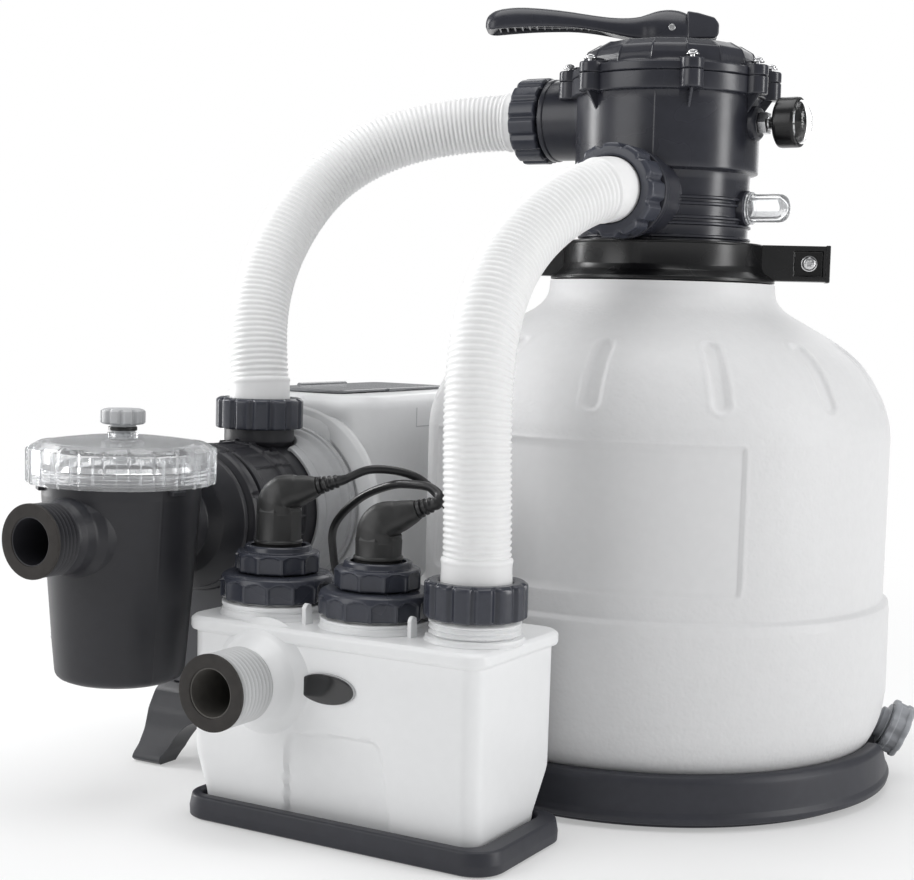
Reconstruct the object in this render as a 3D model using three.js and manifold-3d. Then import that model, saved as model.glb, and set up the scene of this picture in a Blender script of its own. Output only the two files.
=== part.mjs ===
// Combined sand filter and saltwater chlorine generator set for an above-ground
// pool: sand tank with a multiport valve, strainer pump, salt cell box and the
// two hoses between them.
// Millimetres, +Z up. Origin: tank axis at ground level. -Y is the front, the
// way the open pool ports face; +X is to the right seen from the front.
import * as THREE from 'three';
import { mergeVertices } from 'three/addons/utils/BufferGeometryUtils.js';
import Module from 'manifold-3d';

const wasm = await Module();
wasm.setup();

// ---- driving dimensions; Z pairs are [bottom, top], angles are degrees ----
const FACET_SHARE = 0.5;        // share of the nominal facet counts
const GAP = 0.3;                // clearance between neighbouring pieces
const TANK_R = 205;             // widest radius of the lower tank wall
const NECK_Z = 424;             // underside of the clamp band
const DRAIN_BEARING = 20;
const DRAIN_DROP = 23;          // slope below level
const DRAIN_R = 189;            // outlet centre where it leaves the wall
const DRAIN_Z = 55;
const CLAMP_BEARING = 20;       // direction of the clamp ears
const CLAMP_BOLT_R = 125;
const CLAMP_BOLT_Z = 443;

const VALVE_NECK_R = 72;
const VALVE_BODY_R = 79;
const VALVE_BODY_Z = [522, 581];
const FLANGE_R = 84;
const FLANGE_Z = [VALVE_BODY_Z[1], 596];
const LUG_TIP_R = 95.5;         // outer reach of the screw lugs
const LUG_R = 9.5;
const LUG_HOLE_R = 2.5;
const LUG_BEARINGS = [20, 65, 110, 155, 200, 243, 305, 350];
const COVER_TOP_Z = 629;
const STEM_R = 9;
const HANDLE_BEARING = 205;     // rest direction of the lever
const PIN_Z = 641;              // cross pin through lever and stem
const PIN_HOLE_R = 3.3;
const GAUGE_Z = 559;
const SIGHT_GLASS_Z = 488;

const PORT_R = 30.6;            // thread
const PORT_BORE = 19;
const PORT_SHOULDER_R = 35.5;   // plain tube behind the thread
const PORT_MOUTH = 16.5;        // port mouth, from the start of the nut
const HOSE_SEAT = PORT_MOUTH + 0.6;
const NUT_R = 38.2;
const NUT_LENGTH = 27;
const NUT_BORE = PORT_R + 0.8;
const HOSE_R = 25.4;
const HOSE_BORE = 19.2;

const PUMP_X = -304;
const PUMP_Z = 215.5;           // height of the motor axis
const POT_Y = -351.5;
const INLET_Y = -453;
const OUTLET_Y = -172;
const POT_DRAIN_Z = 124;
const MOTOR_X = -313;
const MOTOR_W = 174;
const PANEL_W = 84;             // flip cover over the control panel

const CELL_X = -100;            // centre of the port row
const CELL_Y = -302;
const DECK_X = -107;            // centre of the rim
const DECK_Y = -288;
const DECK_L = 264;
const DECK_W = 135;
const DECK_Z = 155;             // top of the deck
const CELL_NUT_R = 44.5;
const CELL_OUTLET_X = -165;
const CELL_OUTLET_Z = 114;

const WHITE = 0xe6e7e8;
const DARK = 0x3b3c44;
const BLACK = 0x1d1d20;
const GREY = 0x8b8e93;
const STEEL = 0xb9bcc0;
const CHARCOAL = 0x38383d;
const CLEAR = 0xdfe5e8;
const HOSE_WHITE = 0xededee;
const BROWN_BLACK = 0x2c2827;
const CORD_BLACK = 0x2a2a2c;

// ---- placing ------------------------------------------------------------
const DEG = Math.PI / 180;
const RIGHT = [1, 0, 0];
const LEFT = [-1, 0, 0];
const FRONT = [0, -1, 0];
const BACK = [0, 1, 0];
const UP = [0, 0, 1];
const vector = (point) => new THREE.Vector3(...point);

// unit direction; bearing from +X towards +Y, rise above level
function aim(bearing, rise = 0) {
  const level = Math.cos(rise * DEG);
  return [level * Math.cos(bearing * DEG), level * Math.sin(bearing * DEG), Math.sin(rise * DEG)];
}
const polar = (r, bearing, z = 0) => [r * Math.cos(bearing * DEG), r * Math.sin(bearing * DEG), z];
// a place and a turn about one axis
function frame(x = 0, y = 0, z = 0, rx = 0, ry = 0, rz = 0) {
  const turn = new THREE.Matrix4().makeRotationFromEuler(
    new THREE.Euler(rx * DEG, ry * DEG, rz * DEG));
  return turn.setPosition(x, y, z);
}
// local +Z laid along a direction
function along(place, direction) {
  const turn = new THREE.Quaternion().setFromUnitVectors(vector(UP), vector(direction).normalize());
  return new THREE.Matrix4().compose(vector(place), turn, vector([1, 1, 1]));
}
// local X and Y laid along two square directions
function plane(xAxis, yAxis, place) {
  const [x, y] = [vector(xAxis), vector(yAxis)];
  return new THREE.Matrix4().makeBasis(x, y, x.clone().cross(y)).setPosition(...place);
}
const nest = (outer, inner) => outer.clone().multiply(inner);

// ---- solids -------------------------------------------------------------
// welds a closed geometry and turns its faces outwards
function solid(source, matrix) {
  if (matrix) source.applyMatrix4(matrix);
  for (const key of Object.keys(source.attributes)) {
    if (key !== 'position') source.deleteAttribute(key);
  }
  const { attributes: { position }, index } = mergeVertices(source, 1e-4);
  const corner = (i) => new THREE.Vector3().fromBufferAttribute(position, i);
  const triangles = [];
  let volume = 0;
  for (let i = 0; i < index.count; i += 3) {
    const [a, b, c] = index.array.slice(i, i + 3);
    if (a === b || b === c || a === c) continue;
    triangles.push(a, b, c);
    volume += corner(a).dot(corner(b).cross(corner(c)));
  }
  if (volume < 0) {
    for (let i = 0; i < triangles.length; i += 3) {
      [triangles[i], triangles[i + 1]] = [triangles[i + 1], triangles[i]];
    }
  }
  return new wasm.Manifold(new wasm.Mesh({
    numProp: 3,
    vertProperties: Float32Array.from(position.array),
    triVerts: Uint32Array.from(triangles),
  }));
}
const union = (solids) => solids.reduce((sum, part) => sum.add(part));

// turned piece about local Z; outline of [radius, z], closed or ending on the axis
function lathe(outline, segments, matrix) {
  const points = outline.map(([r, z]) => new THREE.Vector2(r, z));
  const endsOnAxis = outline[0][0] === 0 && outline.at(-1)[0] === 0;
  if (!endsOnAxis) points.push(points[0].clone());
  const sides = Math.max(8, 2 * Math.round(segments * FACET_SHARE / 2));
  return solid(new THREE.LatheGeometry(points, sides).rotateX(Math.PI / 2), matrix);
}
const rod = (r, z0, z1, segments, matrix) =>
  lathe([[0, z0], [r, z0], [r, z1], [0, z1]], segments, matrix);
const tube = (bore, r, z0, z1, segments, matrix) =>
  lathe([[bore, z0], [r, z0], [r, z1], [bore, z1]], segments, matrix);

function box(x0, x1, y0, y1, z0, z1, matrix) {
  const geometry = new THREE.BoxGeometry(x1 - x0, y1 - y0, z1 - z0);
  geometry.translate((x0 + x1) / 2, (y0 + y1) / 2, (z0 + z1) / 2);
  return solid(geometry, matrix);
}
function prism(outline, z0, z1, matrix) {
  const shape = new THREE.Shape(outline.map(([x, y]) => new THREE.Vector2(x, y)));
  const geometry = new THREE.ExtrudeGeometry(shape, { depth: z1 - z0, bevelEnabled: false });
  return solid(geometry.translate(0, 0, z0), matrix);
}
function roundRect(width, depth, radius, cornerSteps, cx, cy) {
  const outline = [];
  for (const [sx, sy, start] of [[1, 1, 0], [-1, 1, 90], [-1, -1, 180], [1, -1, 270]]) {
    for (let i = 0; i <= cornerSteps; i++) {
      const [x, y] = polar(radius, start + 90 * i / cornerSteps);
      outline.push([cx + sx * (width / 2 - radius) + x, cy + sy * (depth / 2 - radius) + y]);
    }
  }
  return outline;
}
// rounded rectangles joined into one tapered body, around [cx, cy];
// levels of [width, depth, corner radius, z, x offset, y offset], bottom up
function loft(levels, cx, cy) {
  const rings = levels.map(([width, depth, radius, z, dx = 0, dy = 0]) =>
    roundRect(width, depth, radius, 4, cx + dx, cy + dy).map(([x, y]) => [x, y, z]));
  const capCentres = [levels[0], levels.at(-1)].map(([, , , z, dx = 0, dy = 0]) =>
    [cx + dx, cy + dy, z]);
  const count = rings[0].length;
  const topRing = (rings.length - 1) * count;
  const bottomCentre = rings.length * count;
  const index = [];
  for (let start = 0; start < topRing; start += count) {
    for (let i = 0; i < count; i++) {
      const a = start + i;
      const b = start + (i + 1) % count;
      index.push(a, b, b + count, a, b + count, a + count);
    }
  }
  for (let i = 0; i < count; i++) {
    const next = (i + 1) % count;
    index.push(bottomCentre, next, i, bottomCentre + 1, topRing + i, topRing + next);
  }
  const positions = [...rings, capCentres].flat(2);
  const geometry = new THREE.BufferGeometry();
  geometry.setAttribute('position', new THREE.Float32BufferAttribute(positions, 3));
  geometry.setIndex(index);
  return solid(geometry);
}
// round section swept along points, open through its length if bore > 0
function sweep(points, { r, bore = 0, steps, sides }) {
  const extrudePath = new THREE.CatmullRomCurve3(points.map(vector), false, 'centripetal');
  const circle = (radius, count) => Array.from({ length: count }, (_, i) => new THREE.Vector2(
    radius * Math.cos(2 * Math.PI * i / count), radius * Math.sin(2 * Math.PI * i / count)));
  const section = new THREE.Shape(circle(r, sides));
  if (bore > 0) section.holes.push(new THREE.Path(circle(bore, Math.max(8, sides - 6))));
  return solid(new THREE.ExtrudeGeometry(section, { steps, extrudePath, bevelEnabled: false }));
}
// grip ring: lobes round the outside, bore cut to a [radius, z] outline
function lobed({ r, depth, lobes, z: [z0, z1], bore }, matrix = frame()) {
  const outline = [];
  for (let i = 0; i < lobes; i++) {
    for (const [share, radius] of [[-0.28, r], [0.28, r], [0.5, r - depth]]) {
      const angle = 2 * Math.PI * (i + share) / lobes;
      outline.push([radius * Math.cos(angle), radius * Math.sin(angle)]);
    }
  }
  return prism(outline, z0, z1).subtract(lathe(bore, 34)).transform(Array.from(matrix.elements));
}

const group = new THREE.Group();
group.name = 'salt_chlorine_generator_set';
function addPiece(name, piece, { color, roughness = 0.5, metalness = 0 }) {
  const { vertProperties, triVerts } = piece.getMesh();
  const geometry = new THREE.BufferGeometry();
  const positions = Float32Array.from(vertProperties);
  geometry.setAttribute('position', new THREE.BufferAttribute(positions, 3));
  geometry.setIndex(new THREE.BufferAttribute(Uint32Array.from(triVerts), 1));
  geometry.computeVertexNormals();
  const material = new THREE.MeshStandardMaterial({ color, roughness, metalness });
  const mesh = new THREE.Mesh(geometry, material);
  mesh.name = name;
  group.add(mesh);
}

// ---- hose ports: local +Z points out of the port, the nut begins at start ----
const LEFT_PORT = { start: 112, axis: along([0, 0, 567], LEFT) };
const FRONT_PORT = { start: 99, axis: along([4, 0, 495], FRONT) };
const REAR_PORT = { start: 99, axis: along([0, 0, 545], BACK) };
const PUMP_PORT = { start: 287, axis: frame(PUMP_X, OUTLET_Y) };
const CELL_PORT_X = CELL_X + 90;
const CELL_PORT = { start: 171.8, axis: frame(CELL_PORT_X, CELL_Y) };

// ---- sand tank ----------------------------------------------------------
const drainAxis = along(polar(DRAIN_R, DRAIN_BEARING, DRAIN_Z), aim(DRAIN_BEARING, -DRAIN_DROP));

function tankShell() {
  const outside = [
    [0, 8], [120, 8.5], [152, 10], [173, 18], [186, 30], [196, 46], [202.5, 63],
    [TANK_R, 80], [TANK_R, 130], [203.6, 158.5], [199, 161], [199.4, 200], [199.8, 260],
    [197.5, 304], [190, 330], [175, 356], [155, 373], [128, 390], [106, 402.5], [97.5, 415],
    [97, NECK_Z], [76, NECK_Z + 0.3], [76, 430.6], [80, 433], [80, 441],
  ];
  const inside = [
    [62, 441], [62, 430], [78, 424], [92, 410], [124, 384.5], [150, 368.5], [171, 350.5],
    [186, 326], [192.5, 303], [195, 260], [195, 80], [180, 35], [150, 16], [0, 13],
  ];
  return lathe([...outside, ...inside], 44).subtract(rod(11.3, -30, 30, 16, drainAxis));
}
addPiece('tank_shell', tankShell(), { color: WHITE, roughness: 0.55 });

function baseRing() {
  const outline = [
    [0, 0], [200, 0], [200, 5], [210.5, 5], [211.5, 10], [209.5, 14], [208, 38], [205, 42],
    [195.5, 42], [188.5, 30], [175.8, 17.2], [153, 7.6], [118, 6.4], [0, 6.4],
  ];
  return lathe(outline, 44)
    .subtract(rod(28, 7, 70, 16, drainAxis))
    .subtract(rod(14.4, -30, 30, 16, drainAxis));
}
addPiece('base_ring', baseRing(), { color: DARK, roughness: 0.6 });

addPiece('drain_outlet', lathe([
  [6, -20], [10.9, -20], [10.9, 12.9], [13.6, 13.2], [13.6, 18.4], [18, 18.4], [18, 32], [6, 32],
], 16, drainAxis), { color: GREY });
addPiece('drain_cap', lobed({
  r: 23.5, depth: 1.8, lobes: 8, z: [20, 37], bore: [[0, 10], [18.4, 10], [18.4, 32.4], [0, 32.4]],
}, drainAxis), { color: 0x9a9da2 });

// stand pipe with six radial collector arms at the bottom
function standpipe() {
  let pipe = lathe([
    [0, 14.4], [46, 16.4], [46, 34], [28, 46], [28, 60], [23, 60], [23, 509], [19, 509],
    [19, 34], [0, 34],
  ], 24);
  for (let i = 0; i < 6; i++) {
    pipe = pipe.add(rod(8, 40, 140, 10, along([0, 0, 26], aim(60 * i))));
  }
  return pipe;
}
addPiece('standpipe_collector', standpipe(), { color: DARK, roughness: 0.6 });

// ---- clamp band round the tank neck and the valve foot -------------------
// ears lie along local +X; front is the sign of local Y that faces the front
const clampSides = [['right', 0, -1], ['left', 180, 1]].map(([side, turn, front]) => {
  const ear = frame(0, 0, 0, 0, 0, CLAMP_BEARING + turn);
  const boltAxis = nest(ear, frame(CLAMP_BOLT_R, 0, CLAMP_BOLT_Z, -90 * front));
  return { side, ear, front, boltAxis };
});

function clampBand() {
  const ring = lathe([
    [77.3, 425], [97, 425], [96.5, 429], [86, 434.5], [86, 458], [74.3, 458], [74.3, 452.6],
    [81.3, 451], [81.3, 432.4],
  ], 44);
  const ears = union(clampSides.map(({ ear }) => box(82, 142, -13, 13, 427.5, 458, ear)));
  let band = ring.add(ears.subtract(rod(82.5, 400, 480, 44)));
  // a pocket for the bolt head in front, one behind, and the bolt hole
  for (const { ear, front, boltAxis } of clampSides) {
    const pocket = (near, far, z0, z1) =>
      box(113, 137, Math.min(near, far), Math.max(near, far), z0, z1, ear);
    band = band.subtract(pocket(7.5 * front, 20 * front, 432, 454))
      .subtract(pocket(-8.5 * front, -20 * front, 434, 452))
      .subtract(rod(3.4, -20, 20, 12, boltAxis));
  }
  return band;
}
{
  const band = clampBand();
  const split = 0.8;            // half the slit between the halves
  const turn = clampSides[0].ear;
  const finish = { color: BLACK, roughness: 0.4 };
  addPiece('clamp_front', band.subtract(box(-200, 200, -split, 200, 400, 480, turn)), finish);
  addPiece('clamp_rear', band.subtract(box(-200, 200, -200, split, 400, 480, turn)), finish);
}
for (const { side, boltAxis } of clampSides) {
  addPiece(`clamp_bolt_${side}`, lathe([
    [0, -16], [3, -16], [3, 7.8], [6, 7.8], [6, 10.6], [4, 12.4], [0, 12.4],
  ], 12, boltAxis), { color: STEEL, roughness: 0.35, metalness: 1 });
}

// ---- multiport valve ----------------------------------------------------
const SCREW_CIRCLE_R = LUG_TIP_R - 9;
const gaugeAxis = along([0, 0, GAUGE_Z], RIGHT);
const sightAxis = along([0, 0, SIGHT_GLASS_Z], RIGHT);

const rodsAtLugs = (r, circleR, z0, z1, segments) => union(LUG_BEARINGS.map((bearing) =>
  rod(r, z0, z1, segments, frame(...polar(circleR, bearing)))));
const lugs = (z0, z1) => rodsAtLugs(LUG_R, LUG_TIP_R - LUG_R, z0, z1, 12);
const screwHoles = (z0, z1) => rodsAtLugs(LUG_HOLE_R, SCREW_CIRCLE_R, z0, z1, 8);

function portTube({ start, axis }, from, shoulderR = PORT_SHOULDER_R) {
  const mouth = start + PORT_MOUTH;
  return lathe([
    [0, from], [shoulderR, from], [shoulderR, mouth - 18], [PORT_R, mouth - 17.8],
    [PORT_R, mouth], [0, mouth],
  ], 32, axis);
}
const portBore = ({ start, axis }, from) =>
  rod(PORT_BORE, from, start + PORT_MOUTH + 2, 24, axis);

function valveBody() {
  let body = lathe([
    [0, 441.3], [80, 441.3], [80, 450.6], [VALVE_NECK_R, 452], [VALVE_NECK_R, 516],
    [VALVE_BODY_R, VALVE_BODY_Z[0]], [VALVE_BODY_R, VALVE_BODY_Z[1]],
    [FLANGE_R, FLANGE_Z[0]], [FLANGE_R, FLANGE_Z[1]], [0, FLANGE_Z[1]],
  ], 44);
  body = body.add(lugs(...FLANGE_Z))
    .add(portTube(LEFT_PORT, 60))
    .add(portTube(FRONT_PORT, 50, 36.2))
    .add(portTube(REAR_PORT, 60));
  // port tubes cut level with the top of the flange
  body = body.subtract(rod(97.2, FLANGE_Z[1], 640, 44));
  // bosses for the gauge and the sight glass
  body = body.add(rod(13, 60, 84, 16, gaugeAxis)).add(rod(15, 60, 77.5, 16, sightAxis));
  // diverter chamber, lower chamber and the windows between them
  body = body.subtract(rod(72, 524, 600, 36)).subtract(rod(60, 430, 512, 32));
  const windowOutline = [[30, -8], [52, -12], [52, 12], [30, 8]];
  for (const bearing of [60, 120, 240, 300, 0]) {
    body = body.subtract(prism(windowOutline, 505, 530, frame(0, 0, 0, 0, 0, bearing)));
  }
  // socket for the stand pipe
  body = body.add(tube(23.6, 28, 480, 514, 24))
    .subtract(rod(23.4, 440, 509.6, 24))
    .subtract(rod(16, 500, 530, 20));
  return body.subtract(portBore(LEFT_PORT, 66))
    .subtract(portBore(FRONT_PORT, 56))
    .subtract(portBore(REAR_PORT, 66))
    .subtract(rod(6.4, 60, 100, 12, gaugeAxis))
    .subtract(rod(9.9, 56, 100, 20, sightAxis))
    .subtract(screwHoles(583, 600));
}
addPiece('valve_body', valveBody(), { color: DARK, roughness: 0.4 });

function valveCover() {
  const bottom = FLANGE_Z[1] + GAP;
  return lathe([
    [0, bottom], [FLANGE_R, bottom], [FLANGE_R, 604], [74, 606], [72, 618], [62, 626],
    [34, COVER_TOP_Z], [0, COVER_TOP_Z],
  ], 36)
    .add(lugs(bottom, 606))
    .subtract(lathe([[0, 590], [70, 590], [70, 614], [60, 621.5], [33, 624.5], [0, 624.5]], 32))
    .subtract(rod(STEM_R + 0.4, 600, 640, 24))
    .subtract(screwHoles(590, 610));
}
addPiece('valve_cover', valveCover(), { color: DARK, roughness: 0.4 });

// screws in every second lug
for (let i = 0; i < 4; i++) {
  addPiece(`cover_screw_${i + 1}`, lathe([
    [0, 585], [2, 585], [2, 606.3], [4.6, 606.3], [4.6, 609], [3, 610.4], [0, 610.4],
  ], 8, frame(...polar(SCREW_CIRCLE_R, LUG_BEARINGS[2 * i]))),
  { color: STEEL, roughness: 0.3, metalness: 1 });
}

// ---- diverter, stem and lever; the lever lies along local +X -------------
const leverFrame = frame(0, 0, 0, 0, 0, HANDLE_BEARING);
const pinAxis = nest(leverFrame, frame(0, 0, PIN_Z, 90));

addPiece('diverter_stem', lathe([
  [0, 524.4], [68, 524.4], [68, 531], [24, 538], [STEM_R + 7, 540], [STEM_R, 540],
  [STEM_R, 651], [0, 651],
], 32)
  .subtract(prism([[20, -13], [56, -26], [56, 26], [20, 13]], 520, 545, leverFrame))
  .subtract(rod(PIN_HOLE_R, -20, 20, 12, pinAxis)), { color: DARK, roughness: 0.4 });

function stemSpring() {
  const [bottom, top] = [543, 619];
  const steps = 44;
  const stepsPerTurn = 11;
  const coil = Array.from({ length: steps + 1 }, (_, i) => {
    const angle = 2 * Math.PI * i / stepsPerTurn;
    return [14 * Math.cos(angle), 14 * Math.sin(angle), bottom + i * (top - bottom) / steps];
  });
  return sweep(coil, { r: 1.5, steps, sides: 4 });
}
addPiece('stem_spring', stemSpring(), { color: STEEL, roughness: 0.3, metalness: 1 });
addPiece('thrust_washer', tube(STEM_R + 0.4, 24, COVER_TOP_Z + GAP, COVER_TOP_Z + 2, 24),
  { color: WHITE });

function handle() {
  const sidePlane = nest(leverFrame, frame(0, 0, 0, 90));
  // side outline: [distance along the lever, z]
  const side = [
    [-40, 633], [-40, 650], [-12, 655], [4, 658.5], [22, 656.5], [41, 652.5], [79, 655.5],
    [113, 658.5], [142, 658], [155, 654], [160, 646], [158, 637.5], [153, 637], [146.5, 642],
    [130, 645], [104.4, 643.5], [75, 640], [45.5, 635], [28.7, 631.8], [-20, 631.8],
  ];
  let lever = prism(side, -17, 17, sidePlane);
  // both flanks narrow to a waist near the hub
  for (const s of [1, -1]) {
    const flank = [
      [26, s * 10.5], [54, s * 11], [96, s * 15.5], [164, s * 19], [164, s * 40], [26, s * 40],
    ];
    lever = lever.subtract(prism(flank, 620, 670, leverFrame));
  }
  const stemSlot = box(-STEM_R - 2, STEM_R + 2, -STEM_R - 0.6, STEM_R + 0.6, 620, 653, leverFrame);
  const heelSlot = box(-50, -STEM_R - 4, -6, 6, 640, 670, leverFrame);
  // hollow under the grip, crossed near its roof by a shallow wedge
  const wedge = prism([[60, 620], [153, 620], [153, 640], [60, 648]], -30, 30, sidePlane)
    .subtract(box(0, 300, -40, 40, 0, 645, leverFrame));
  const hollow = box(64, 151, -11, 11, 630, 648, leverFrame).subtract(wedge);
  return lever.subtract(stemSlot)
    .subtract(heelSlot)
    .subtract(hollow)
    .subtract(rod(PIN_HOLE_R, -30, 30, 12, pinAxis));
}
addPiece('handle', handle(), { color: DARK, roughness: 0.4 });
addPiece('handle_pin', rod(3, -16, 16, 12, pinAxis),
  { color: STEEL, roughness: 0.3, metalness: 1 });

// ---- pressure gauge and sight glass on the right of the body -------------
addPiece('gauge_case', lathe([
  [0, 70], [5.8, 70], [5.8, 84.5], [9, 84.5], [9, 92], [4.5, 92.4], [4.5, 99.5], [19, 99.5],
  [21, 101.5], [21, 119], [18.6, 119], [18.6, 108.6], [0, 108.6],
], 24, gaugeAxis), { color: BLACK, roughness: 0.4 });
addPiece('gauge_needle', prism([[-2, -5], [2, -5], [0.6, 14], [-0.6, 14]], 110, 111, gaugeAxis)
  .add(rod(2.4, 109, 112, 12, gaugeAxis)), { color: BLACK });
addPiece('gauge_lens', lathe([
  [0, 129], [8, 128.4], [15, 125.5], [18.3, 120], [18.3, 114], [16.6, 114], [16.6, 119.5],
  [13.8, 123.5], [7.5, 126.2], [0, 126.8],
], 24, gaugeAxis), { color: CLEAR, roughness: 0.05 });
addPiece('sight_glass', lathe([
  [0, 112], [9.5, 112], [12, 109], [12, 78], [9, 78], [9, 62], [7, 62], [7, 104], [0, 106],
], 20, sightAxis), { color: CLEAR, roughness: 0.05 });

// ---- union nuts and hoses -----------------------------------------------
function addNut(name, { start, axis }) {
  const end = start + NUT_LENGTH;
  const bore = [
    [0, start - 5], [NUT_BORE, start - 5], [NUT_BORE, start + 22.8], [27.2, start + 23.2],
    [27.2, end + 5], [0, end + 5],
  ];
  addPiece(name, lobed({ r: NUT_R, depth: 2, lobes: 14, z: [start, end], bore }, axis),
    { color: DARK, roughness: 0.35 });
}
addNut('nut_valve_left', LEFT_PORT);
addNut('nut_valve_front', FRONT_PORT);
addNut('nut_pump_outlet', PUMP_PORT);
addNut('nut_cell_hose', CELL_PORT);

// cap closing the rear port
function rearCap({ start, axis }) {
  const bore = [
    [0, start - 5], [NUT_BORE, start - 5], [NUT_BORE, start + 18.6], [0, start + 18.6],
  ];
  return lobed({ r: NUT_R - 1, depth: 1.6, lobes: 12, z: [start, start + 23], bore }, axis);
}
addPiece('rear_port_cap', rearCap(REAR_PORT), { color: DARK, roughness: 0.45 });

// points on a cubic Bezier curve, both ends included
function bezier(controls) {
  const steps = 5;
  return Array.from({ length: steps + 1 }, (_, i) => {
    const t = i / steps;
    const u = 1 - t;
    const weights = [u * u * u, 3 * u * u * t, 3 * u * t * t, t * t * t];
    return [0, 1, 2].map((k) => weights.reduce((sum, w, j) => sum + w * controls[j][k], 0));
  });
}
// straight ends on two ports, joined by two Bezier curves that share controls[3]
function addHose(name, ports, controls) {
  const [start, end] = ports.map(({ start: nutStart, axis }) =>
    vector([0, 0, nutStart + HOSE_SEAT]).applyMatrix4(axis).toArray());
  const bends = [...bezier(controls.slice(0, 4)), ...bezier(controls.slice(3)).slice(1)];
  let hose = sweep([start, ...bends, end], { r: HOSE_R, bore: HOSE_BORE, steps: 18, sides: 14 });
  for (const port of ports) {
    const seat = port.start + HOSE_SEAT;
    hose = hose.add(tube(HOSE_BORE, 30, seat, seat + 5.2, 24, port.axis));
  }
  addPiece(name, hose, { color: HOSE_WHITE });
}
addHose('hose_pump_to_valve', [LEFT_PORT, PUMP_PORT], [
  [-142, 0, 567], [-186.4, 0, 567], [-283, -47.5, 563.4], [-306, -106, 488],
  [-329, -164.5, 412.6], [PUMP_X, OUTLET_Y, 356], [PUMP_X, OUTLET_Y, 318],
]);
addHose('hose_valve_to_cell', [FRONT_PORT, CELL_PORT], [
  [4, -126, 495], [4, -151, 495], [-29.3, -197.4, 471.9], [-24.5, -251.7, 417.1],
  [-19.7, -306, 362.2], [CELL_PORT_X, CELL_Y, 290.8], [CELL_PORT_X, CELL_Y, 209],
]);

// ---- pump: strainer pot --------------------------------------------------
const potAxis = frame(PUMP_X, POT_Y);
const inletAxis = along([PUMP_X, POT_Y, PUMP_Z], FRONT);
const potDrainAxis = along([PUMP_X, POT_Y, POT_DRAIN_Z], LEFT);
const inletReach = POT_Y - INLET_Y;

function strainerPot() {
  const backAxis = along([PUMP_X, POT_Y, PUMP_Z], BACK);
  const seat = inletReach - 3.3;
  return lathe([[0, 96], [44, 96], [51, 102], [62, 244], [62, 262], [0, 262]], 32, potAxis)
    .add(lathe([
      [0, 30], [34, 30], [31, 70], [26, 76], [27, 78], [27, seat], [0, seat],
    ], 24, inletAxis))
    .add(rod(34, 30, 88.8, 24, backAxis))
    .add(rod(8, 30, 58.5, 12, potDrainAxis))
    .subtract(lathe([
      [0, 101], [42, 101], [47.5, 104], [57.5, 244], [57.5, 270], [0, 270],
    ], 32, potAxis))
    .subtract(rod(18.5, 30, inletReach + 5, 20, inletAxis))
    .subtract(rod(18, 30, 100, 20, backAxis))
    .subtract(rod(4.3, 30, 70, 12, potDrainAxis));
}
addPiece('strainer_pot', strainerPot(), { color: CHARCOAL, roughness: 0.45 });
addPiece('inlet_gasket', tube(18.5, 27.4, inletReach - 3, inletReach, 24, inletAxis),
  { color: BROWN_BLACK, roughness: 0.8 });
addPiece('pot_drain_plug', lathe([
  [0, 51], [4, 51], [4, 58.8], [9, 58.8], [9, 66], [7, 68], [0, 68],
], 14, potDrainAxis), { color: WHITE });

addPiece('strainer_lid', lobed({
  r: 73.5, depth: 1.8, lobes: 24, z: [252, 281],
  bore: [[0, 240], [63, 240], [63, 264.8], [55, 264.8], [55, 276], [0, 276]],
}, potAxis)
  .add(lathe([[0, 276.5], [60, 276], [70, 281], [64, 285], [20, 289], [0, 289]], 32, potAxis))
  .subtract(rod(6.6, 260, 300, 16, potAxis)), { color: CLEAR, roughness: 0.08 });
addPiece('vent_knob', lobed({
  r: 17.5, depth: 2, lobes: 8, z: [298.5, 310], bore: [[0, 280], [0.9, 280], [0.9, 290], [0, 290]],
}, potAxis).add(lathe([
  [0, 268], [9, 268], [9, 270.6], [6, 271], [6, 295], [10, 295], [10, 299], [0, 299],
], 16, potAxis)), { color: 0xa7a9ad });
addPiece('strainer_basket', lathe([
  [0, 132], [40, 132], [52, 244], [56, 246], [56, 249], [50, 249], [38.2, 134.4], [0, 134.4],
], 28, potAxis), { color: 0xcfd1d3, roughness: 0.6 });

// ---- pump: turned parts on the motor axis, local z equal to world y ------
const motorAxis = along([PUMP_X, 0, PUMP_Z], BACK);

function voluteHousing() {
  const { start, axis } = PUMP_PORT;
  const mouth = start + PORT_MOUTH;
  const neckBottom = PUMP_Z + 40;
  return lathe([
    [0, -262.4], [56, -262.4], [61, -256], [61, -236], [62, -232], [62, -140], [0, -140],
  ], 36, motorAxis)
    .add(lathe([
      [0, neckBottom], [24.3, neckBottom], [24.3, 269], [PORT_R, 277], [PORT_R, mouth], [0, mouth],
    ], 32, axis))
    .subtract(rod(58, -216, -130, 32, motorAxis))
    .subtract(rod(18, -270, -200, 20, motorAxis))
    .subtract(rod(PORT_BORE, PUMP_Z + 30, start + 30, 24, axis));
}
addPiece('volute_housing', voluteHousing(), { color: CHARCOAL, roughness: 0.4 });
addPiece('impeller', lathe([
  [0, -182], [8, -182], [13.5, -196], [13.5, -208], [16.5, -208], [20, -196], [50, -176],
  [50, -172], [7, -172], [7, -160], [0, -160],
], 28, motorAxis).subtract(rod(6.2, -200, -150, 24, motorAxis)), { color: 0xd4d4d6 });
addPiece('seal_plate', tube(6.5, 61.8, -139.7, -135, 36, motorAxis), { color: BLACK });
addPiece('motor_flange', lathe([
  [6.6, -134.7], [62.7, -134.7], [62.7, -172], [66, -172], [66, -133], [70, -133],
  [70, -121], [60, -121], [60, -128], [6.6, -128],
], 36, motorAxis).subtract(rod(33, PUMP_Z + 30, 320, 24, PUMP_PORT.axis)), { color: 0xc3c5c8 });
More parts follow.
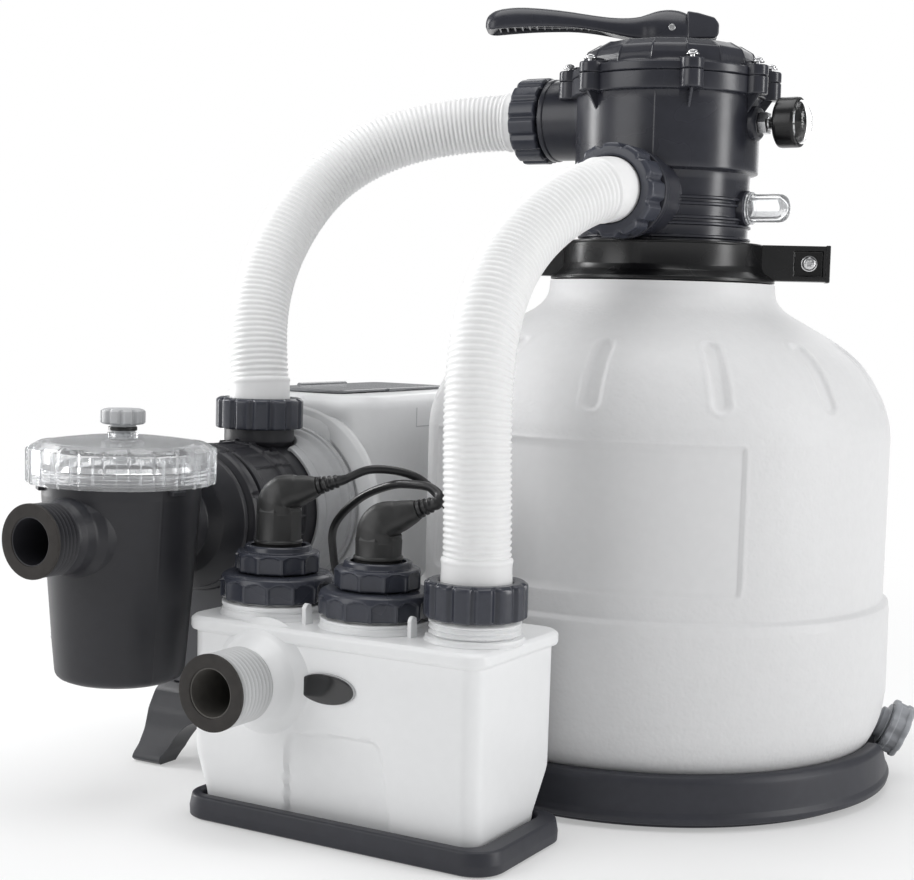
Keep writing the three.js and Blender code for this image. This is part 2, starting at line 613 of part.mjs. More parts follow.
addPiece('motor_rotor', lathe([
  [0, -184], [6, -184], [6, -96], [27, -96], [27, -20], [7, -20], [7, 33], [46, 33],
  [46, 42], [6, 42], [6, 48], [0, 48],
], 24, motorAxis), { color: STEEL, roughness: 0.4, metalness: 1 });
addPiece('stator', tube(28, 56, -100, -16, 28, motorAxis), { color: 0xa5673a, metalness: 0.6 });

// ---- pump: motor cover, control panel and cradle -------------------------
const motorPlate = (width, depth, radius, z0, z1) =>
  prism(roundRect(width, depth, radius, 3, MOTOR_X, 0), z0, z1);

// tall rounded shell, bored at the front for the pump barrel
function motorCover() {
  const outside = loft([
    [MOTOR_W - 8, 232, 26, 71], [MOTOR_W, 240, 28, 100], [MOTOR_W, 240, 28, 296],
    [MOTOR_W - 4, 236, 26, 310], [MOTOR_W - 12, 228, 24, 316],
  ], MOTOR_X, 0);
  const inside = loft([
    [MOTOR_W - 14, 226, 24, 60], [MOTOR_W - 6, 234, 26, 100], [MOTOR_W - 6, 234, 26, 294],
    [MOTOR_W - 10, 230, 24, 306],
  ], MOTOR_X, 0);
  // recess for the panel in the top, with an opening below it
  return outside.subtract(inside)
    .subtract(rod(62, -140, -100, 32, motorAxis))
    .subtract(motorPlate(PANEL_W - 8, 190, 12, 309, 330))
    .subtract(motorPlate(60, 60, 8, 300, 312));
}
addPiece('motor_cover', motorCover(), { color: WHITE, roughness: 0.3 });
addPiece('control_panel', motorPlate(PANEL_W - 9, 188, 11.5, 309.4, 313)
  .subtract(rod(8.4, 300, 320, 16, frame(MOTOR_X))), { color: 0xb4b7bb });
addPiece('power_button', rod(8, 311, 315, 16, frame(MOTOR_X)), { color: DARK, roughness: 0.6 });
// plate with a round hinge bar along its left edge
addPiece('panel_flip_cover', motorPlate(PANEL_W, 196, 12, 316.4, 319.4)
  .add(rod(2.6, -40, 40, 12, along([MOTOR_X - PANEL_W / 2, 0, 319], BACK))),
{ color: 0x9fa3a8, roughness: 0.15 });

function pumpCradle() {
  // side outline: [y, z]
  const side = [
    [-264, 0], [-236, 0], [-227, 22], [-210, 48], [-192, 56], [74, 56], [84, 0], [112, 0],
    [112, 70.6], [-212, 70.6], [-234, 66], [-246, 50], [-252, 20], [-264, 5],
  ];
  const saddle = box(PUMP_X - 46, PUMP_X + 46, -230, -176, 60, 190)
    .subtract(rod(62.8, -270, -100, 36, motorAxis));
  // arch between the two front feet: [x from the pump, z]
  const arch = [[-30, -1], [30, -1], [23, 26], [12, 38], [-12, 38], [-23, 26]];
  return prism(side, -58, 58, plane(BACK, UP, [PUMP_X, 0, 0]))
    .add(saddle)
    .subtract(prism(arch, 195, 280, plane(RIGHT, UP, [PUMP_X, 0, 0])));
}
addPiece('pump_cradle', pumpCradle(), { color: GREY, roughness: 0.55 });

// ---- salt cell box ------------------------------------------------------
const cellSocket = (x, nutZ, collarZ) => ({ x, nutZ, collarZ, axis: frame(x, CELL_Y) });
const ELECTRODE = cellSocket(CELL_X - 87.5, [167, 187.5], [188.1, 204.5]);
const SENSOR = cellSocket(CELL_X + 5, [164, 184], [184.6, 200.6]);
const cellOutletAxis = along([CELL_OUTLET_X, 0, CELL_OUTLET_Z], FRONT);

addPiece('cell_tray', loft([
  [272, 124, 22, 0, 4], [274, 126, 23, 8, 4], [270, 122, 21, 18, 4],
], CELL_X, CELL_Y).subtract(loft([
  [246, 106, 13, 8, -1, 2], [250, 108, 15, 30, -1, 2],
], CELL_X, CELL_Y)), { color: 0x35363c, roughness: 0.55 });

function cellBox() {
  const neck = (r, top, axis) => rod(r, DECK_Z - 4, top, 28, axis);
  let body = loft([
    [240, 97.5, 12, 9.2, 6, -11.8], [243, 100, 12, 20, 5.5, -11.5],
    [253, 125, 13, 50, 0.5, -0.5], [DECK_L - 10, DECK_W - 9, 13.5, 143.5],
    [DECK_L - 2, DECK_W - 1, 17, 145], [DECK_L, DECK_W, 18, DECK_Z - 2],
    [DECK_L - 3, DECK_W - 3, 17, DECK_Z],
  ], DECK_X, DECK_Y).add(lathe([
    [0, 330], [37, 340], [34, 360], [27.5, 366], [27.5, 411], [0, 411],
  ], 24, cellOutletAxis));
  for (const { nutZ: [nutBottom, nutTop], axis } of [ELECTRODE, SENSOR]) {
    body = body.add(neck(36.5, nutTop - 9, axis)).add(neck(43, nutBottom - 1.2, axis));
  }
  body = body.add(neck(36.5, 159, CELL_PORT.axis))
    .add(neck(PORT_R, CELL_PORT.start + PORT_MOUTH, CELL_PORT.axis));
  // flow chamber and bores
  body = body.subtract(loft([
    [232, 90, 9, 14, 6, -11.8], [245, 117, 10, 50, 0.5, -0.5], [246, 118, 10, 149],
  ], DECK_X, DECK_Y))
    .subtract(rod(28, 140, 190, 28, ELECTRODE.axis))
    .subtract(rod(28, 140, 190, 28, SENSOR.axis))
    .subtract(rod(PORT_BORE, 140, 200, 24, CELL_PORT.axis))
    .subtract(rod(18.5, 320, 420, 20, cellOutletAxis));
  // raised oval on the front wall
  const oval = Array.from({ length: 20 }, (_, i) =>
    [24.8 * Math.cos(Math.PI * i / 10), 11.3 * Math.sin(Math.PI * i / 10)]);
  body = body.add(prism(oval, 349, 352.8, plane(RIGHT, UP, [-106.2, 0, 113.8])));
  // two locking tabs on the deck
  return body.add(box(-143, -139, -332, -324, DECK_Z - 2, 171))
    .add(box(-52, -48.5, -328, -320, DECK_Z - 2, 170));
}
addPiece('cell_box', cellBox(), { color: WHITE, roughness: 0.25 });
addPiece('cell_outlet_gasket', tube(18.5, 28.2, 411.3, 414.4, 24, cellOutletAxis),
  { color: BROWN_BLACK, roughness: 0.8 });

// ---- electrode socket (left) and flow sensor socket (middle) -------------
function addSocketNut(name, { nutZ: [bottom, top], axis }) {
  const bore = [
    [0, bottom - 3], [37.2, bottom - 3], [37.2, top - 5], [24.6, top - 5],
    [24.6, top + 40], [0, top + 40],
  ];
  addPiece(name, lobed({ r: CELL_NUT_R, depth: 1.6, lobes: 14, z: [bottom, top], bore }, axis),
    { color: DARK, roughness: 0.35 });
}
addSocketNut('electrode_nut', ELECTRODE);
addSocketNut('sensor_nut', SENSOR);

// flange under the nut, spigot through it and a socket on top
function holder({ nutZ: [, nutTop], collarZ: [, collarTop], axis }, bottom) {
  const top = collarTop - 9.4;
  return lathe([
    [0, bottom], [17, bottom], [26.9, nutTop - 16], [26.9, nutTop - 8.6], [36, nutTop - 8.6],
    [36, nutTop - 5.4], [24, nutTop - 5.4], [24, top], [20.8, top], [20.8, top - 6], [0, top - 6],
  ], 24, axis);
}
// holder with five upright electrode plates below it
function electrodeCell() {
  const { x } = ELECTRODE;
  let cell = holder(ELECTRODE, 136);
  for (let i = 0; i < 5; i++) {
    const y = CELL_Y - 10 + 5 * i;
    cell = cell.add(box(x - 15, x + 15, y - 0.7, y + 0.7, 32, 138));
  }
  return cell;
}
addPiece('electrode_cell', electrodeCell(), { color: 0x6f7277, roughness: 0.45, metalness: 0.3 });
addPiece('sensor_holder', holder(SENSOR, 132), { color: DARK });

function addCollar(name, { collarZ: [bottom, top], axis }) {
  const bore = [
    [0, bottom - 20], [24.5, bottom - 20], [24.5, top - 8.8], [20.6, top - 8.8],
    [20.6, top + 20], [0, top + 20],
  ];
  addPiece(name, lobed({ r: 33.2, depth: 1.4, lobes: 10, z: [bottom, top], bore }, axis)
    .add(tube(20.6, 25.6, top - 2, top + 4.6, 34, axis)), { color: DARK, roughness: 0.35 });
}
addCollar('electrode_collar', ELECTRODE);
addCollar('sensor_collar', SENSOR);

addPiece('flow_paddle', box(SENSOR.x - 8, SENSOR.x + 8, CELL_Y - 1.2, CELL_Y + 1.2, 60, 122)
  .add(rod(3, -12, 12, 10, frame(SENSOR.x, CELL_Y, 124, 0, 90))), { color: 0xc9762f });

// moulded plug: upright barrel, cable entry leaning to the right and back from
// bendZ; the cord starts at two distances along the entry, then takes its route
function addPlugCord(name, socket, { bendZ, bearing, rise, starts, route, steps }) {
  const bottom = socket.collarZ[1] - 15;
  const entryAxis = along([socket.x, CELL_Y, bendZ], aim(bearing, rise));
  const plug = lathe([
    [0, bottom], [18, bottom], [18, bendZ - 8], [15, bendZ + 4], [9, bendZ + 12], [0, bendZ + 14],
  ], 24, socket.axis).add(lathe([
    [0, 0], [13, 0], [11.5, 20], [8, 26], [7, 38], [5.5, 46], [0, 46],
  ], 16, entryAxis));
  const leads = starts.map((z) => vector([0, 0, z]).applyMatrix4(entryAxis).toArray());
  addPiece(name, plug.add(sweep([...leads, ...route], { r: 3.3, steps, sides: 6 })),
    { color: CORD_BLACK });
}
addPlugCord('electrode_plug_cord', ELECTRODE, {
  bendZ: 247, bearing: 15, rise: 16, starts: [40, 52], steps: 20,
  route: [
    [-118, -280, 270.5], [-96, -267, 269], [-80, -256, 259], [-64, -241, 234],
    [-44, -222, 190], [-34, -212, 150], [-34, -212, 70],
  ],
});
addPlugCord('sensor_plug_cord', SENSOR, {
  bendZ: 233, bearing: 12, rise: 22, starts: [40, 48], steps: 26,
  route: [
    [-50.5, -289, 256], [-60, -285, 261], [-76, -281, 262], [-103, -274, 259],
    [-138, -264, 245], [-168, -253, 220], [-182, -232, 190], [-186, -214, 150],
    [-186, -213, 70],
  ],
});

export default group;
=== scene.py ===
import math
import bpy, bmesh
import numpy as np
from mathutils import Matrix, Vector

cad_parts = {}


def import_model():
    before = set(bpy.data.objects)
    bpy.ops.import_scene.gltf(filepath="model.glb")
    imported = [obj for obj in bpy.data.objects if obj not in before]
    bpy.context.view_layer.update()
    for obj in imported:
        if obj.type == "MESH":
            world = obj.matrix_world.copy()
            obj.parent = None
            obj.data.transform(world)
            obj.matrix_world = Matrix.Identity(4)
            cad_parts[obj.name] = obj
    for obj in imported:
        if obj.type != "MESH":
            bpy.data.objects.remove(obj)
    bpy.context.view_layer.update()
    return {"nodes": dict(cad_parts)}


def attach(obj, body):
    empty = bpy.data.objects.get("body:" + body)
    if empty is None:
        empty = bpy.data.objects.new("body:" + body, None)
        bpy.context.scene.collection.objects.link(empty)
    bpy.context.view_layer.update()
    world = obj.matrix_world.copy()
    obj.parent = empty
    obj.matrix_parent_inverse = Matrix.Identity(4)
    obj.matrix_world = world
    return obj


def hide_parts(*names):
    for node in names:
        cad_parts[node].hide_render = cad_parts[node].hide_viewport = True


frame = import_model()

NODES = frame["nodes"]
D2R = math.pi / 180
MM = 0.001
R0 = "filter_set"

# ------------------------------------------------------------------ materials
def mat(name, base, rough=0.4, metal=0.0, var=0.06, speck=0.04, bump=0.12, bscale=900.0, bdist=0.00012,
        rvar=0.12, wear=0.0, coat=0.0, trans=0.0, ior=1.46, alpha_shadow=False, stretch=(1, 1, 1), mask=None, sss=0.0, peel=0.0):
    m = bpy.data.materials.new(name)
    m.use_nodes = True
    nt = m.node_tree
    nt.nodes.clear()
    N = nt.nodes.new
    L = nt.links.new
    out = N("ShaderNodeOutputMaterial")
    p = N("ShaderNodeBsdfPrincipled")
    tc = N("ShaderNodeTexCoord")
    mp = N("ShaderNodeMapping")
    mp.inputs["Scale"].default_value = stretch
    L(tc.outputs["Object"], mp.inputs["Vector"])
    n1 = N("ShaderNodeTexNoise"); n1.inputs["Scale"].default_value = 14.0; n1.inputs["Detail"].default_value = 3.0
    n2 = N("ShaderNodeTexNoise"); n2.inputs["Scale"].default_value = bscale; n2.inputs["Detail"].default_value = 2.0
    n3 = N("ShaderNodeTexNoise"); n3.inputs["Scale"].default_value = 120.0; n3.inputs["Detail"].default_value = 4.0
    for n in (n1, n2, n3):
        L(mp.outputs["Vector"], n.inputs["Vector"])
    # colour: base * (1 + large variation + fine speckle), lighter on worn edges
    mr = N("ShaderNodeMapRange"); mr.inputs["From Min"].default_value = 0.3; mr.inputs["From Max"].default_value = 0.7
    mr.inputs["To Min"].default_value = 1 - var; mr.inputs["To Max"].default_value = 1 + var
    L(n1.outputs["Fac"], mr.inputs["Value"])
    ms = N("ShaderNodeMapRange"); ms.inputs["From Min"].default_value = 0.35; ms.inputs["From Max"].default_value = 0.65
    ms.inputs["To Min"].default_value = 1 - speck; ms.inputs["To Max"].default_value = 1 + speck
    L(n3.outputs["Fac"], ms.inputs["Value"])
    mul = N("ShaderNodeMath"); mul.operation = "MULTIPLY"
    L(mr.outputs["Result"], mul.inputs[0]); L(ms.outputs["Result"], mul.inputs[1])
    vm = N("ShaderNodeVectorMath"); vm.operation = "SCALE"
    vm.inputs[0].default_value = base[:3]
    L(mul.outputs["Value"], vm.inputs["Scale"])
    col = vm.outputs["Vector"]
    if wear:
        g = N("ShaderNodeNewGeometry")
        cr = N("ShaderNodeMapRange"); cr.inputs["From Min"].default_value = 0.51; cr.inputs["From Max"].default_value = 0.60
        L(g.outputs["Pointiness"], cr.inputs["Value"])
        wn = N("ShaderNodeMath"); wn.operation = "MULTIPLY"; wn.inputs[1].default_value = wear
        L(cr.outputs["Result"], wn.inputs[0])
        mx = N("ShaderNodeMix"); mx.data_type = "RGBA"
        L(wn.outputs["Value"], mx.inputs["Factor"])
        L(col, mx.inputs[6])
        mx.inputs[7].default_value = (min(1, base[0] * 2.2 + 0.05), min(1, base[1] * 2.2 + 0.05), min(1, base[2] * 2.2 + 0.05), 1)
        col = mx.outputs[2]
    L(col, p.inputs["Base Color"])
    rr = N("ShaderNodeMapRange"); rr.inputs["From Min"].default_value = 0.3; rr.inputs["From Max"].default_value = 0.7
    rr.inputs["To Min"].default_value = max(0.02, rough - rvar / 2); rr.inputs["To Max"].default_value = min(1, rough + rvar / 2)
    L(n1.outputs["Fac"], rr.inputs["Value"])
    L(rr.outputs["Result"], p.inputs["Roughness"])
    p.inputs["Metallic"].default_value = metal
    p.inputs["IOR"].default_value = ior
    if coat:
        p.inputs["Coat Weight"].default_value = coat
        p.inputs["Coat Roughness"].default_value = 0.12
    if sss:
        p.inputs["Subsurface Weight"].default_value = sss
        p.inputs["Subsurface Radius"].default_value = (0.004, 0.004, 0.004)
        p.inputs["Subsurface Scale"].default_value = 1.0
    b = N("ShaderNodeBump"); b.inputs["Strength"].default_value = bump; b.inputs["Distance"].default_value = bdist
    L(n2.outputs["Fac"], b.inputs["Height"])
    last = b
    if peel:
        vo = N("ShaderNodeTexVoronoi"); vo.feature = "SMOOTH_F1"; vo.inputs["Scale"].default_value = 300.0
        L(mp.outputs["Vector"], vo.inputs["Vector"])
        n4 = N("ShaderNodeTexNoise"); n4.inputs["Scale"].default_value = 330.0; n4.inputs["Detail"].default_value = 2.0
        L(mp.outputs["Vector"], n4.inputs["Vector"])
        ad = N("ShaderNodeMath"); ad.operation = "ADD"
        L(vo.outputs["Distance"], ad.inputs[0]); L(n4.outputs["Fac"], ad.inputs[1])
        b2 = N("ShaderNodeBump"); b2.inputs["Distance"].default_value = 0.0006
        L(ad.outputs["Value"], b2.inputs["Height"])
        L(b.outputs["Normal"], b2.inputs["Normal"])
        if mask:
            at = N("ShaderNodeAttribute"); at.attribute_name = mask
            mm_ = N("ShaderNodeMath"); mm_.operation = "MULTIPLY"; mm_.inputs[1].default_value = peel
            L(at.outputs["Fac"], mm_.inputs[0]); L(mm_.outputs["Value"], b2.inputs["Strength"])
        else:
            b2.inputs["Strength"].default_value = peel
        last = b2
    L(last.outputs["Normal"], p.inputs["Normal"])
    surf = p.outputs["BSDF"]
    if trans:
        p.inputs["Transmission Weight"].default_value = trans
        lp = N("ShaderNodeLightPath")
        tr = N("ShaderNodeBsdfTransparent"); tr.inputs["Color"].default_value = (0.93, 0.94, 0.95, 1)
        mix = N("ShaderNodeMixShader")
        orr = N("ShaderNodeMath"); orr.operation = "MAXIMUM"
        L(lp.outputs["Is Shadow Ray"], orr.inputs[0]); L(lp.outputs["Is Diffuse Ray"], orr.inputs[1])
        L(orr.outputs["Value"], mix.inputs["Fac"]); L(surf, mix.inputs[1]); L(tr.outputs["BSDF"], mix.inputs[2])
        surf = mix.outputs["Shader"]
    L(surf, out.inputs["Surface"])
    m.diffuse_color = (base[0], base[1], base[2], 1)
    return m

M = {
    "tank": mat("tank_white", (0.69, 0.69, 0.695), 0.5, var=0.006, speck=0.010, bump=0.05, peel=0.34, mask="rough_mask", rvar=0.02),
    # greyer copy of the white plastic for the outlet spout: painted shade on its thread rings
    "spout": mat("spout_white_painted_shade", (0.60, 0.605, 0.61), 0.36, var=0.01, speck=0.01, bump=0.05, bscale=500, rvar=0.0),
    "white": mat("white_plastic", (0.84, 0.845, 0.85), 0.30, var=0.004, speck=0.006, bump=0.04, bscale=500, rvar=0.0),
    "hose": mat("hose_white", (0.83, 0.83, 0.83), 0.42, var=0.006, speck=0.01, bump=0.06, rvar=0.02),
    "dark": mat("dark_plastic", (0.024, 0.025, 0.033), 0.27, var=0.10, speck=0.05, bump=0.16, bscale=700, wear=0.35, rvar=0.12),
    "nut": mat("nut_plastic", (0.036, 0.039, 0.052), 0.26, var=0.10, speck=0.05, bump=0.10, bscale=700, wear=0.45, rvar=0.10),
    "tray": mat("tray_plastic", (0.025, 0.026, 0.034), 0.46, var=0.08, speck=0.06, bump=0.35, bscale=1100, wear=0.3),
    "charcoal": mat("charcoal_plastic", (0.018, 0.018, 0.022), 0.42, var=0.08, speck=0.05, bump=0.22, bscale=1000, wear=0.3),
    "black": mat("black_plastic", (0.004, 0.004, 0.0045), 0.28, var=0.12, speck=0.08, bump=0.15, bscale=700, wear=0.25),
    "cord": mat("cord_black", (0.010, 0.010, 0.011), 0.33, var=0.12, speck=0.08, bump=0.15, bscale=900),
    "plug": mat("plug_plastic", (0.020, 0.020, 0.020), 0.40, var=0.12, speck=0.08, bump=0.45, bscale=520, wear=0.25),
    "grey": mat("grey_plastic", (0.032, 0.033, 0.038), 0.34, var=0.08, speck=0.04, bump=0.2, bscale=900, wear=0.3),
    "capgrey": mat("cap_grey_plastic", (0.30, 0.31, 0.33), 0.45, var=0.05, speck=0.03, bump=0.2, bscale=900, wear=0.2),
    "lgrey": mat("light_grey_plastic", (0.47, 0.475, 0.485), 0.42, var=0.04, speck=0.03, bump=0.12, bscale=900, wear=0.15),
    "panel": mat("panel_smoke", (0.20, 0.205, 0.215), 0.16, var=0.06, speck=0.02, bump=0.03, coat=0.6),
    "brown": mat("rubber_brown", (0.026, 0.023, 0.021), 0.72, var=0.15, speck=0.15, bump=0.6, bscale=800),
    "rubber": mat("rubber_black", (0.016, 0.016, 0.016), 0.7, var=0.15, speck=0.12, bump=0.5, bscale=800),
    # dark brown for the inside of the white outlet bore: painted shade in the hole
    "bore": mat("bore_painted_shade", (0.09, 0.085, 0.078), 0.6, var=0.12, speck=0.1, bump=0.3, bscale=600),
    "steel": mat("bright_steel", (0.62, 0.62, 0.63), 0.24, metal=1.0, var=0.06, speck=0.06, bump=0.2, bscale=1500, stretch=(1, 1, 6)),
    "titan": mat("coated_titanium", (0.30, 0.31, 0.33), 0.4, metal=0.8, var=0.1, speck=0.08, bump=0.3, bscale=1200),
    "copper": mat("copper_winding", (0.45, 0.20, 0.08), 0.38, metal=0.85, var=0.2, speck=0.2, bump=0.8, bscale=500, stretch=(1, 0.2, 1)),
    "amber": mat("amber_plastic", (0.55, 0.22, 0.05), 0.4, var=0.1, speck=0.05),
    "clear": mat("clear_plastic", (0.95, 0.955, 0.96), 0.07, var=0.0, speck=0.0, bump=0.04, bscale=300, trans=0.86, rvar=0.03, ior=1.33),
    "lens": mat("lens_clear", (0.98, 0.98, 0.98), 0.03, var=0.0, speck=0.0, bump=0.0, trans=1.0, rvar=0.02, ior=1.3),
    "dial": mat("dial_white", (0.85, 0.85, 0.84), 0.5, var=0.01, speck=0.01, bump=0.05),
    "ink": mat("dial_ink", (0.012, 0.012, 0.012), 0.5, var=0.05, speck=0.05),
    "gloss_black": mat("badge_black", (0.008, 0.008, 0.009), 0.16, var=0.1, speck=0.05, bump=0.05, coat=0.7),
}

# ------------------------------------------------------------------ mesh code
def along(at, d):
    q = Vector((0, 0, 1)).rotation_difference(Vector(d).normalized())
    return Matrix.Translation(Vector(at)) @ q.to_matrix().to_4x4()

def rotz(deg, at=(0, 0, 0)):
    return Matrix.Translation(Vector(at)) @ Matrix.Rotation(deg * D2R, 4, "Z")

def xf(V, T):
    if T is None:
        return V
    A = np.array(T)
    return V @ A[:3, :3].T + A[:3, 3]

def join(*parts):
    V, F, o = [], [], 0
    for v, f in parts:
        V.append(np.asarray(v, float))
        F.extend([tuple(i + o for i in q) for q in f])
        o += len(v)
    return np.vstack(V), F

def tf(part, T):
    return xf(np.asarray(part[0], float), T), part[1]

def obj(name, part, m, body=R0, reps=(), T=None, angle=35, bevel=0.0, bseg=3, sub=0, attr=None, recalc=True):
    V, F = part
    V = xf(np.asarray(V, float), T) * MM
    me = bpy.data.meshes.new(name)
    me.from_pydata(V.tolist(), [], F)
    if recalc:
        bm = bmesh.new(); bm.from_mesh(me)
        bmesh.ops.recalc_face_normals(bm, faces=bm.faces)
        bm.to_mesh(me); bm.free()
    me.materials.append(M[m])
    me.shade_smooth()
    me.set_sharp_from_angle(angle=angle * D2R)
    if attr is not None:
        a = me.attributes.new(attr[0], "FLOAT", "POINT")
        a.data.foreach_set("value", np.asarray(attr[1], np.float32))
    o = bpy.data.objects.new(name, me)
    bpy.context.scene.collection.objects.link(o)
    if bevel:
        b = o.modifiers.new("round", "BEVEL"); b.width = bevel * MM; b.segments = bseg; b.limit_method = "ANGLE"; b.angle_limit = 28 * D2R
        b.harden_normals = False
        me.shade_smooth()
        w = o.modifiers.new("wn", "WEIGHTED_NORMAL"); w.keep_sharp = False
    if sub:
        s = o.modifiers.new("sub", "SUBSURF"); s.levels = sub; s.render_levels = sub
    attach(o, body)
    if reps:
        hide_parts(*reps)
    return o

def fil(P, r=1.0, n=4, closed=False):
    """round the corners of a polyline; a point may carry its own radius as its last number when marked (p, r)"""
    pts, rad = [], []
    for p in P:
        if isinstance(p[0], (tuple, list)):
            pts.append(np.array(p[0], float)); rad.append(p[1])
        else:
            pts.append(np.array(p, float)); rad.append(r)
    out, N = [], len(pts)
    for i in range(N):
        b = pts[i]
        if rad[i] <= 0 or (not closed and i in (0, N - 1)):
            out.append(b); continue
        a, c = pts[i - 1], pts[(i + 1) % N]
        u, v = a - b, c - b
        lu, lv = np.linalg.norm(u), np.linalg.norm(v)
        if lu < 1e-9 or lv < 1e-9:
            out.append(b); continue
        ca = max(-1, min(1, float(u @ v) / (lu * lv)))
        ang = math.acos(ca)
        if ang > math.pi - 0.03:
            out.append(b); continue
        d = min(rad[i] / max(math.tan(ang / 2), 1e-3), 0.49 * lu, 0.49 * lv)
        p0, p1 = b + u / lu * d, b + v / lv * d
        k = max(2, int(round(n * (math.pi - ang) / (math.pi / 2))))
        for j in range(k + 1):
            t = j / k
            out.append((1 - t) ** 2 * p0 + 2 * t * (1 - t) * b + t * t * p1)
    return [tuple(q) for q in out]

def cr(P, n=8):
    P = [np.array(p, float) for p in P]
    Q = [2 * P[0] - P[1]] + P + [2 * P[-1] - P[-2]]
    out = []
    for i in range(1, len(Q) - 2):
        p0, p1, p2, p3 = Q[i - 1], Q[i], Q[i + 1], Q[i + 2]
        for j in range(n):
            t = j / n
            out.append(0.5 * ((2 * p1) + (-p0 + p2) * t + (2 * p0 - 5 * p1 + 4 * p2 - p3) * t * t + (-p0 + 3 * p1 - 3 * p2 + p3) * t ** 3))
    out.append(P[-1])
    return [tuple(q) for q in out]

def dens(P, step):
    out = [P[0]]
    for a, b in zip(P[:-1], P[1:]):
        a_, b_ = np.array(a, float), np.array(b, float)
        k = max(1, int(math.ceil(np.linalg.norm(b_ - a_) / step)))
        for j in range(1, k + 1):
            out.append(tuple(a_ + (b_ - a_) * j / k))
    return out

def lathe(P, seg=128, mod=None, a0=0.0, a1=360.0):
    """turn a profile of (r, z) about Z; mod(R, Z, TH) may reshape the grid"""
    P = np.array([p[:2] for p in P], float)
    full = abs(a1 - a0 - 360) < 1e-6
    th = (a0 + (a1 - a0) * np.arange(seg if full else seg + 1) / seg) * D2R
    nth = len(th)
    R = np.repeat(P[:, :1], nth, 1); Z = np.repeat(P[:, 1:], nth, 1); TH = np.repeat(th[None, :], len(P), 0)
    axis = P[:, 0] < 1e-6
    if mod is not None:
        R2, Z2 = mod(R.copy(), Z.copy(), TH)
        R = np.where(axis[:, None], R, R2); Z = np.where(axis[:, None], Z, Z2)
    V, F, start = [], [], []
    for i in range(len(P)):
        start.append(len(V))
        if axis[i]:
            V.append((0, 0, float(Z[i, 0])))
        else:
            V.extend(np.stack([R[i] * np.cos(th), R[i] * np.sin(th), Z[i]], 1).tolist())
    pairs = [(i, i + 1) for i in range(len(P) - 1)]
    closed = not (axis[0] and axis[-1])
    if closed:
        pairs.append((len(P) - 1, 0))
    m = nth if full else nth - 1
    for i, j in pairs:
        if axis[i] and axis[j]:
            continue
        si, sj = start[i], start[j]
        if axis[i]:
            F.extend([(si, sj + (k + 1) % nth, sj + k) for k in range(m)])
        elif axis[j]:
            F.extend([(si + k, si + (k + 1) % nth, sj) for k in range(m)])
        else:
            F.extend([(si + k, si + (k + 1) % nth, sj + (k + 1) % nth, sj + k) for k in range(m)])
    if not full:
        F.append(tuple(start[i] for i in range(len(P))))
        F.append(tuple(start[i] + (0 if axis[i] else nth - 1) for i in range(len(P)))[::-1])
    return np.array(V), F

def sm(x):
    x = np.clip(x, 0, 1)
    return x * x * (3 - 2 * x)

def lobes(TH, n, flat=0.55, phase=0.0):
    """0 on the lobe, 1 at the middle of the groove between two lobes"""
    p = np.abs(((TH / (2 * math.pi) * n + phase + 0.5) % 1) - 0.5) * 2
    return sm((p - flat) / (1 - flat))

def flutes(TH, n, ridge=0.16, phase=0.0):
    """0 on the narrow ridge between two flutes, 1 at the middle of the flute"""
    p = np.abs(((TH / (2 * math.pi) * n + phase + 0.5) % 1) - 0.5) * 2      # 0 at the ridge, 1 mid flute
    q = np.clip((p - ridge) / (1 - ridge), 0, 1)
    return np.sqrt(np.clip(1 - (1 - q) ** 2, 0, 1))

def rring(w, h, r, ns=10, nc=8, cx=0.0, cy=0.0):
    r = max(0.2, min(r, w / 2 - 0.1, h / 2 - 0.1))
    out = []
    c = [(1, 1, 0), (-1, 1, 90), (-1, -1, 180), (1, -1, 270)]
    L_ = [w - 2 * r, h - 2 * r]
    for i, (sx, sy, a0) in enumerate(c):
        for j in range(nc + 1):
            a = (a0 + 90 * j / nc) * D2R
            out.append((cx + sx * (w / 2 - r) + r * math.cos(a), cy + sy * (h / 2 - r) + r * math.sin(a)))
        # straight to the next corner
        p = np.array(out[-1])
        nx_ = c[(i + 1) % 4]
        a = nx_[2] * D2R
        q = np.array((cx + nx_[0] * (w / 2 - r) + r * math.cos(a), cy + nx_[1] * (h / 2 - r) + r * math.sin(a)))
        for j in range(1, ns):
            out.append(tuple(p + (q - p) * j / ns))
    return np.array(out)

def loft(levels, ns=10, nc=8, mod=None, cap0=True, cap1=True):
    """levels of (w, h, r, z, cx, cy)"""
    G = []
    for lv in levels:
        w, h, r, z, cx, cy = lv
        ring = rring(w, h, r, ns, nc, cx, cy)
        G.append(np.column_stack([ring, np.full(len(ring), z)]))
    G = np.array(G)
    if mod is not None:
        G = mod(G)
    n, m = G.shape[:2]
    V = G.reshape(-1, 3)
    F = []
    for k in range(n - 1):
        F.extend([(k * m + i, k * m + (i + 1) % m, (k + 1) * m + (i + 1) % m, (k + 1) * m + i) for i in range(m)])
    if cap0:
        F.append(tuple(range(m))[::-1])
    if cap1:
        F.append(tuple((n - 1) * m + i for i in range(m)))
    return V, F

def ringgrid(G, cap0=True, cap1=True, closed=True):
    """rings of points (n, m, 3) joined into a skin"""
    n, m = G.shape[:2]
    F = []
    for k in range(n - 1):
        F.extend([(k * m + i, k * m + (i + 1) % m, (k + 1) * m + (i + 1) % m, (k + 1) * m + i) for i in range(m if closed else m - 1)])
    if cap0:
        F.append(tuple(range(m))[::-1])
    if cap1:
        F.append(tuple((n - 1) * m + i for i in range(m)))
    return G.reshape(-1, 3), F

def resample(P, step):
    P = np.array(P, float)
    d = np.r_[0, np.cumsum(np.linalg.norm(np.diff(P, axis=0), axis=1))]
    n = max(2, int(round(d[-1] / step)))
    s = np.linspace(0, d[-1], n + 1)
    return np.column_stack([np.interp(s, d, P[:, k]) for k in range(3)]), s

